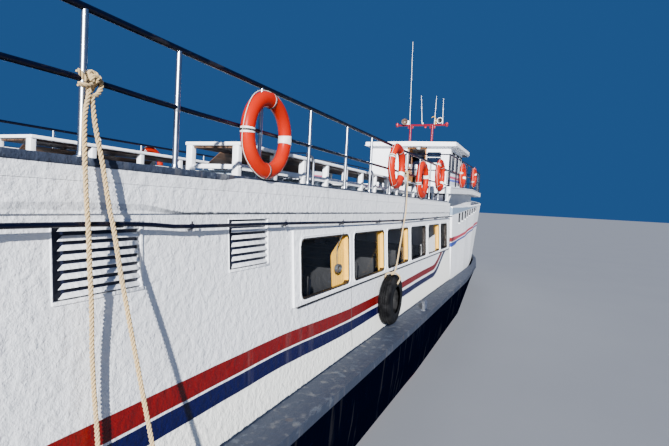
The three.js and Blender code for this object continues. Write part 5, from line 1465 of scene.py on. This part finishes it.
class FERRY_OT_mast(bpy.types.Operator):
    """Signal mast with lamps, horns, a loudspeaker and whip aerials"""

    bl_idname = "ferry.mast"
    bl_label = "Signal mast"

    def execute(self, context):
        x, bar, reach = 10.1, 6.54, 1.08
        red = [tubes([[(x, -reach, bar), (x, reach, bar)]], 0.042, 16)]
        for y in (-0.475, 0.475):
            red.append(tubes([[(x, y, 5.585), (x, y, bar)]], 0.05, 20))
            base = turned([(0.09, 0), (0.09, 0.02), (0.075, 0.035), (0.054, 0.045), (0.052, 0.09)])
            red.append(moved(base, (x, y, 5.59)))
            web = block((x - 0.004, y - 0.12, bar - 0.14), (x + 0.004, y + 0.12, bar), 0.002)
            red.append(web)
        for y in (-reach, reach):
            cup = turned([(0.02, -0.08), (0.055, -0.06), (0.064, -0.03), (0.064, 0.02), (0.05, 0.03)])
            red.append(moved(cup, (x, y, bar)))
            cap = turned([(0.05, 0.07), (0.062, 0.075), (0.06, 0.09), (0.03, 0.105), (0.006, 0.11)])
            red.append(moved(cap, (x, y, bar)))
        parts = [coated(joined(red), "mast coat")]
        for y in (-reach, reach):
            lens = turned([(0.05, 0.025), (0.057, 0.035), (0.057, 0.065), (0.05, 0.075)])
            parts.append(coated(moved(lens, (x, y, bar)), "red lens"))
        for y, z, kind in ((-0.05, 0.06, "clear lens"), (-0.18, -0.1, "red lens")):
            small = turned([(0.035, 0), (0.045, 0.01), (0.045, 0.05), (0.03, 0.07), (0.01, 0.075)])
            parts.append(coated(moved(small, (x - 0.02, y, bar + z - 0.02)), kind))
        cone = turned([
            (0.03, 0.14), (0.035, 0.1), (0.05, 0.06), (0.09, 0.015), (0.13, -0.02), (0.135, -0.03),
            (0.1, -0.02), (0.04, 0.05),
        ])
        parts.append(coated(moved(cone, (x - 0.12, 0.72, bar + 0.14), (0.95, 0.2, 0)), "brown planks"))
        driver = block((x - 0.05, 0.56, bar + 0.03), (x + 0.08, 0.7, bar + 0.21), 0.02, 3)
        parts.append(coated(driver, "smooth white"))
        horn = turned([
            (0.03, 0.2), (0.03, 0.12), (0.045, 0.06), (0.09, 0.01), (0.12, -0.01), (0.12, -0.02),
            (0.08, -0.01), (0.02, 0.05),
        ])
        mouth = ((x - 0.1, -0.8, bar + 0.17), (0.98, -0.1, 0))
        parts.append(coated(moved(horn, *mouth), "black seal"))
        turns = [i * TURN / 24 for i in range(24)]
        rim = [(0.118 * math.cos(a), 0.118 * math.sin(a), -0.018) for a in turns]
        ring = tubes([rim], 0.012, 8, closed=True)
        parts.append(coated(moved(ring, *mouth), "smooth white"))
        arm = [
            (x, -0.62, bar), (x, -0.6, bar + 0.25), (x - 0.02, -0.5, bar + 0.36),
            (x - 0.03, -0.42, bar + 0.3),
        ]
        arm = tubes([smoothed(arm, 0.03)], 0.022, 10, taper=lambda t: 1.3 - 0.9 * t)
        parts.append(coated(arm, "amber lens"))
        fitted(joined(parts), "signal_mast_lamps", stands_for=["signal_mast"])
        whips = []
        stands = (0.52, 0.08, 3.6), (-0.02, 0.1, 1.27), (-0.55, -0.03, 1.22), (-0.9, 0.02, 1.13)
        for y, lean, tall in stands:
            a, b = Vector((x, y, bar)), Vector((x, y + lean, bar + tall))
            line = [a.lerp(b, i / 8) for i in range(9)]
            whips.append(tubes([line], 0.01, 10, taper=lambda t: 1 - 0.45 * t))
            for share in (0.0, 0.12, 0.55):
                ferrule = turned([(0.011, 0), (0.017, 0.006), (0.017, 0.05), (0.011, 0.056)], 14)
                whips.append(moved(ferrule, a.lerp(b, share), b - a))
        fitted(coated(joined(whips), "white fibreglass"), "whip_aerials")
        return {"FINISHED"}


def cushion(wide, deep, thick):
    """A crowned cushion with drawn-in sides, on its own origin."""
    rest()
    bpy.ops.mesh.primitive_cube_add(size=1, scale=(deep, wide, thick))
    o = bpy.context.object
    bpy.ops.object.transform_apply(location=True, rotation=True, scale=True)
    bpy.ops.object.mode_set(mode="EDIT")
    bpy.ops.mesh.select_all(action="SELECT")
    bpy.ops.mesh.bevel(offset=thick * 0.22, segments=1, affect="EDGES")
    bpy.ops.mesh.subdivide(number_cuts=2)
    close_mesh()
    for vertex in o.data.vertices:
        u, v = vertex.co.x / (deep / 2), vertex.co.y / (wide / 2)
        crown = max(0, 1 - u * u) * max(0, 1 - v * v)
        if vertex.co.z > 0:
            vertex.co.z += thick * 0.22 * crown - thick * 0.12
        drawn = 1 - 0.03 * (1 - min(1, abs(u)) ** 2) * abs(v) ** 4
        vertex.co.y *= drawn
    soft = o.modifiers.new("soft", "SUBSURF")
    soft.levels = soft.render_levels = 1
    hold(o)
    bpy.ops.object.modifier_apply(modifier="soft")
    return coated(o, "seat cover")


class FERRY_OT_seats(bpy.types.Operator):
    """Cabin seats: plinths, frames and padded cushions, and the helm seat"""

    bl_idname = "ferry.seats"
    bl_label = "Seats"

    def execute(self, context):
        seat = cushion(0.5, 0.46, 0.105)
        back = cushion(0.5, 0.6, 0.1)
        back.data.transform(turned_by(-90, "Y"))
        aft, row, gangway, place = -6.9, 0.85, 0.35, 0.525
        for side, sign in (("starboard", -1), ("port", 1)):
            frames, pads = [], []
            y0, y1 = sorted((sign * 0.75, sign * 2.15))
            frames.append(block((aft, y0, 1.0505), (1.23, y1, 1.13), 0.01))
            for i in range(10):
                x = aft + row * i
                frames.append(block((x + 0.06, y0 + 0.1, 1.125), (x + 0.4, y1 - 0.1, 1.39), 0.01))
                low, high = sorted((sign * gangway, sign * (gangway + 4 * place)))
                frames.append(block((x - 0.09, low, 1.385), (x + 0.48, high, 1.41), 0.008))
                frames.append(block((x - 0.09, low, 1.4), (x - 0.05, high, 2.13), 0.012))
                for k in range(4):
                    y = sign * (gangway + place * (k + 0.5))
                    pads.append(copied(seat, Matrix.Translation((x + 0.25, y, 1.455))))
                    pads.append(copied(back, Matrix.Translation((x - 0.005, y, 1.79))))
            fitted(coated(joined(frames), "seat frame"), f"seat_frames_{side}")
            node = f"cabin_seats_{side}"
            pads = fitted(joined(pads), f"seat_cushions_{side}", stands_for=[node], angle=80)
        low = cushion(0.44, 0.44, 0.09)
        low.data.transform(Matrix.Translation((9.76, 0, 4.395)))
        high = cushion(0.44, 0.5, 0.08)
        high.data.transform(Matrix.Translation((9.55, 0, 4.69)) @ turned_by(-90, "Y"))
        pads = joined([low, high])
        fitted(pads, "helm_seat_cushions", stands_for=["helm_seat"], angle=80)
        profile = [(0.22, 0), (0.22, 0.012), (0.2, 0.02), (0.07, 0.03)]
        profile += [(0.06, 0.05), (0.06, 0.4), (0.04, 0.41), (0.04, 0.56)]
        stem = joined([
            moved(turned(profile), (9.75, 0, 3.7805)),
            block((9.54, -0.2, 4.335), (9.96, 0.2, 4.352), 0.006),
            block((9.5, -0.06, 4.34), (9.53, 0.06, 4.8), 0.006),
        ])
        fitted(coated(stem, "post steel"), "helm_seat_pedestal")
        bpy.data.objects.remove(seat)
        bpy.data.objects.remove(back)
        return {"FINISHED"}


class FERRY_OT_doors(bpy.types.Operator):
    """Glass, seals and handles of the two doors"""

    bl_idname = "ferry.doors"
    bl_label = "Doors"

    def execute(self, context):
        loop = crosswise_loop(-0.25, 2.05, 0.25, 2.7, 0.05, -13.646)
        seal = coated(tubes([loop], 0.009, 8, closed=True), "black seal")
        glass = coated(pane([(-13.63, v, w) for u, v, w in loop], (1, 0, 0)), "dark glass")
        grip = [(-13.646, 2.0), (-13.69, 2.02), (-13.69, 2.14), (-13.646, 2.16)]
        handle = tubes([smoothed([(x, 0.36, z) for x, z in grip], 0.02)], 0.009, 10)
        fitted(joined([seal, coated(handle, "post steel")]), "saloon_door_trim", "saloon_door")
        fitted(glass, "saloon_door_pane", "saloon_door")
        loop = upright_loop(8.737, 4.65, 9.167, 5.18, 0.05, 0.102)
        seal = coated(tubes([loop], 0.007, 8, closed=True), "black seal")
        knob = turned([(0.012, 0), (0.012, 0.03), (0.026, 0.036), (0.026, 0.055), (0.01, 0.06)], 16)
        coated(moved(knob, (9.24, 0.102, 4.55), (0, -1, 0)), "post steel")
        fitted(joined([seal, knob]), "pilot_door_trim", "pilot_door")
        glass = coated(pane([(u, 0.116, w) for u, v, w in loop], (0, 1, 0)), "house glass")
        fitted(glass, "pilot_door_pane", "pilot_door")
        return {"FINISHED"}


class FERRY_OT_deck_fittings(bpy.types.Operator):
    """Air pipes, hatches and the strip along the upper deck's edge"""

    bl_idname = "ferry.deck_fittings"
    bl_label = "Deck fittings"

    def execute(self, context):
        strip = block((-15.29, -2.7455, 3.171), (2.2, -2.715, 3.2175), 0.005)
        strip = coated(both(strip), "upper deck coat")
        fitted(strip, "deck_edge_strip")
        vents = []
        for x, y in ((-9.8, -1.6), (-9.8, 1.6), (-12.2, -1.2)):
            neck = [(0, 3.17), (0, 3.45), (0.03, 3.54), (0.12, 3.58), (0.2, 3.52), (0.21, 3.44)]
            vents.append(tubes([smoothed([(x + u, y, z) for u, z in neck], 0.03)], 0.055, 16))
            foot = turned([(0.1, 0), (0.1, 0.012), (0.062, 0.02), (0.058, 0.04)])
            vents.append(moved(foot, (x, y, DECK_TOP)))
        fitted(coated(joined(vents), "smooth white"), "air_pipes")
        hatch = joined([
            block((-11.6, -0.5, DECK_TOP), (-10.5, 0.5, 3.3), 0.012),
            block((-11.63, -0.53, 3.3), (-10.47, 0.53, 3.345), 0.014, 3),
        ])
        coated(hatch, "box coat")
        clip = block((-11.66, -0.03, 3.26), (-11.625, 0.03, 3.33), 0.006)
        clips = [shifted(clip, y=y) for y in (-0.3, 0.3)]
        bpy.data.objects.remove(clip)
        fitted(joined([hatch, coated(joined(clips), "post steel")]), "deck_hatch")
        fore = joined([
            block((11.55, -0.35, 2.0005), (12.05, 0.35, 2.1), 0.012),
            block((11.52, -0.38, 2.1), (12.08, 0.38, 2.14), 0.012, 3),
        ])
        fitted(coated(fore, "box coat"), "foredeck_hatch")
        return {"FINISHED"}


STEPS = (
    "finishes", "stage", "rails", "grab_pipes", "louvres", "windows", "curtains", "ropes", "tyres",
    "life_rings", "benches", "bow", "bridge", "seats", "wheelhouse", "mast", "doors", "deck_fittings",
)


class FERRY_PT_panel(bpy.types.Panel):
    """Lists the ferry's pieces, sizes and colours"""

    bl_idname = "FERRY_PT_panel"
    bl_label = "Passenger ferry"
    bl_space_type = "VIEW_3D"
    bl_region_type = "UI"
    bl_category = "Ferry"

    def draw(self, context):
        for group in (context.scene.ferry_colours, context.scene.ferry_sizes):
            for name in group.bl_rna.properties.keys():
                if name not in ("rna_type", "name"):
                    self.layout.prop(group, name)
        for step in STEPS:
            self.layout.operator(f"ferry.{step}")


CLASSES = (
    FerryColours, FerrySizes, FERRY_OT_finishes, FERRY_OT_stage, FERRY_OT_rails, FERRY_OT_grab_pipes,
    FERRY_OT_louvres, FERRY_OT_windows, FERRY_OT_curtains, FERRY_OT_ropes, FERRY_OT_tyres,
    FERRY_OT_life_rings, FERRY_OT_benches, FERRY_OT_bow, FERRY_OT_bridge, FERRY_OT_seats,
    FERRY_OT_wheelhouse, FERRY_OT_mast, FERRY_OT_doors, FERRY_OT_deck_fittings, FERRY_PT_panel,
)


def register():
    for part in CLASSES:
        bpy.utils.register_class(part)
    bpy.types.Scene.ferry_colours = bpy.props.PointerProperty(type=FerryColours)
    bpy.types.Scene.ferry_sizes = bpy.props.PointerProperty(type=FerrySizes)


def unregister():
    del bpy.types.Scene.ferry_sizes
    del bpy.types.Scene.ferry_colours
    for part in reversed(CLASSES):
        bpy.utils.unregister_class(part)


def main():
    register()
    for step in STEPS:
        done = getattr(bpy.ops.ferry, step)()
        if done != {"FINISHED"}:
            raise RuntimeError(f"{step} wasn't finished")


if __name__ == "__main__":
    main()
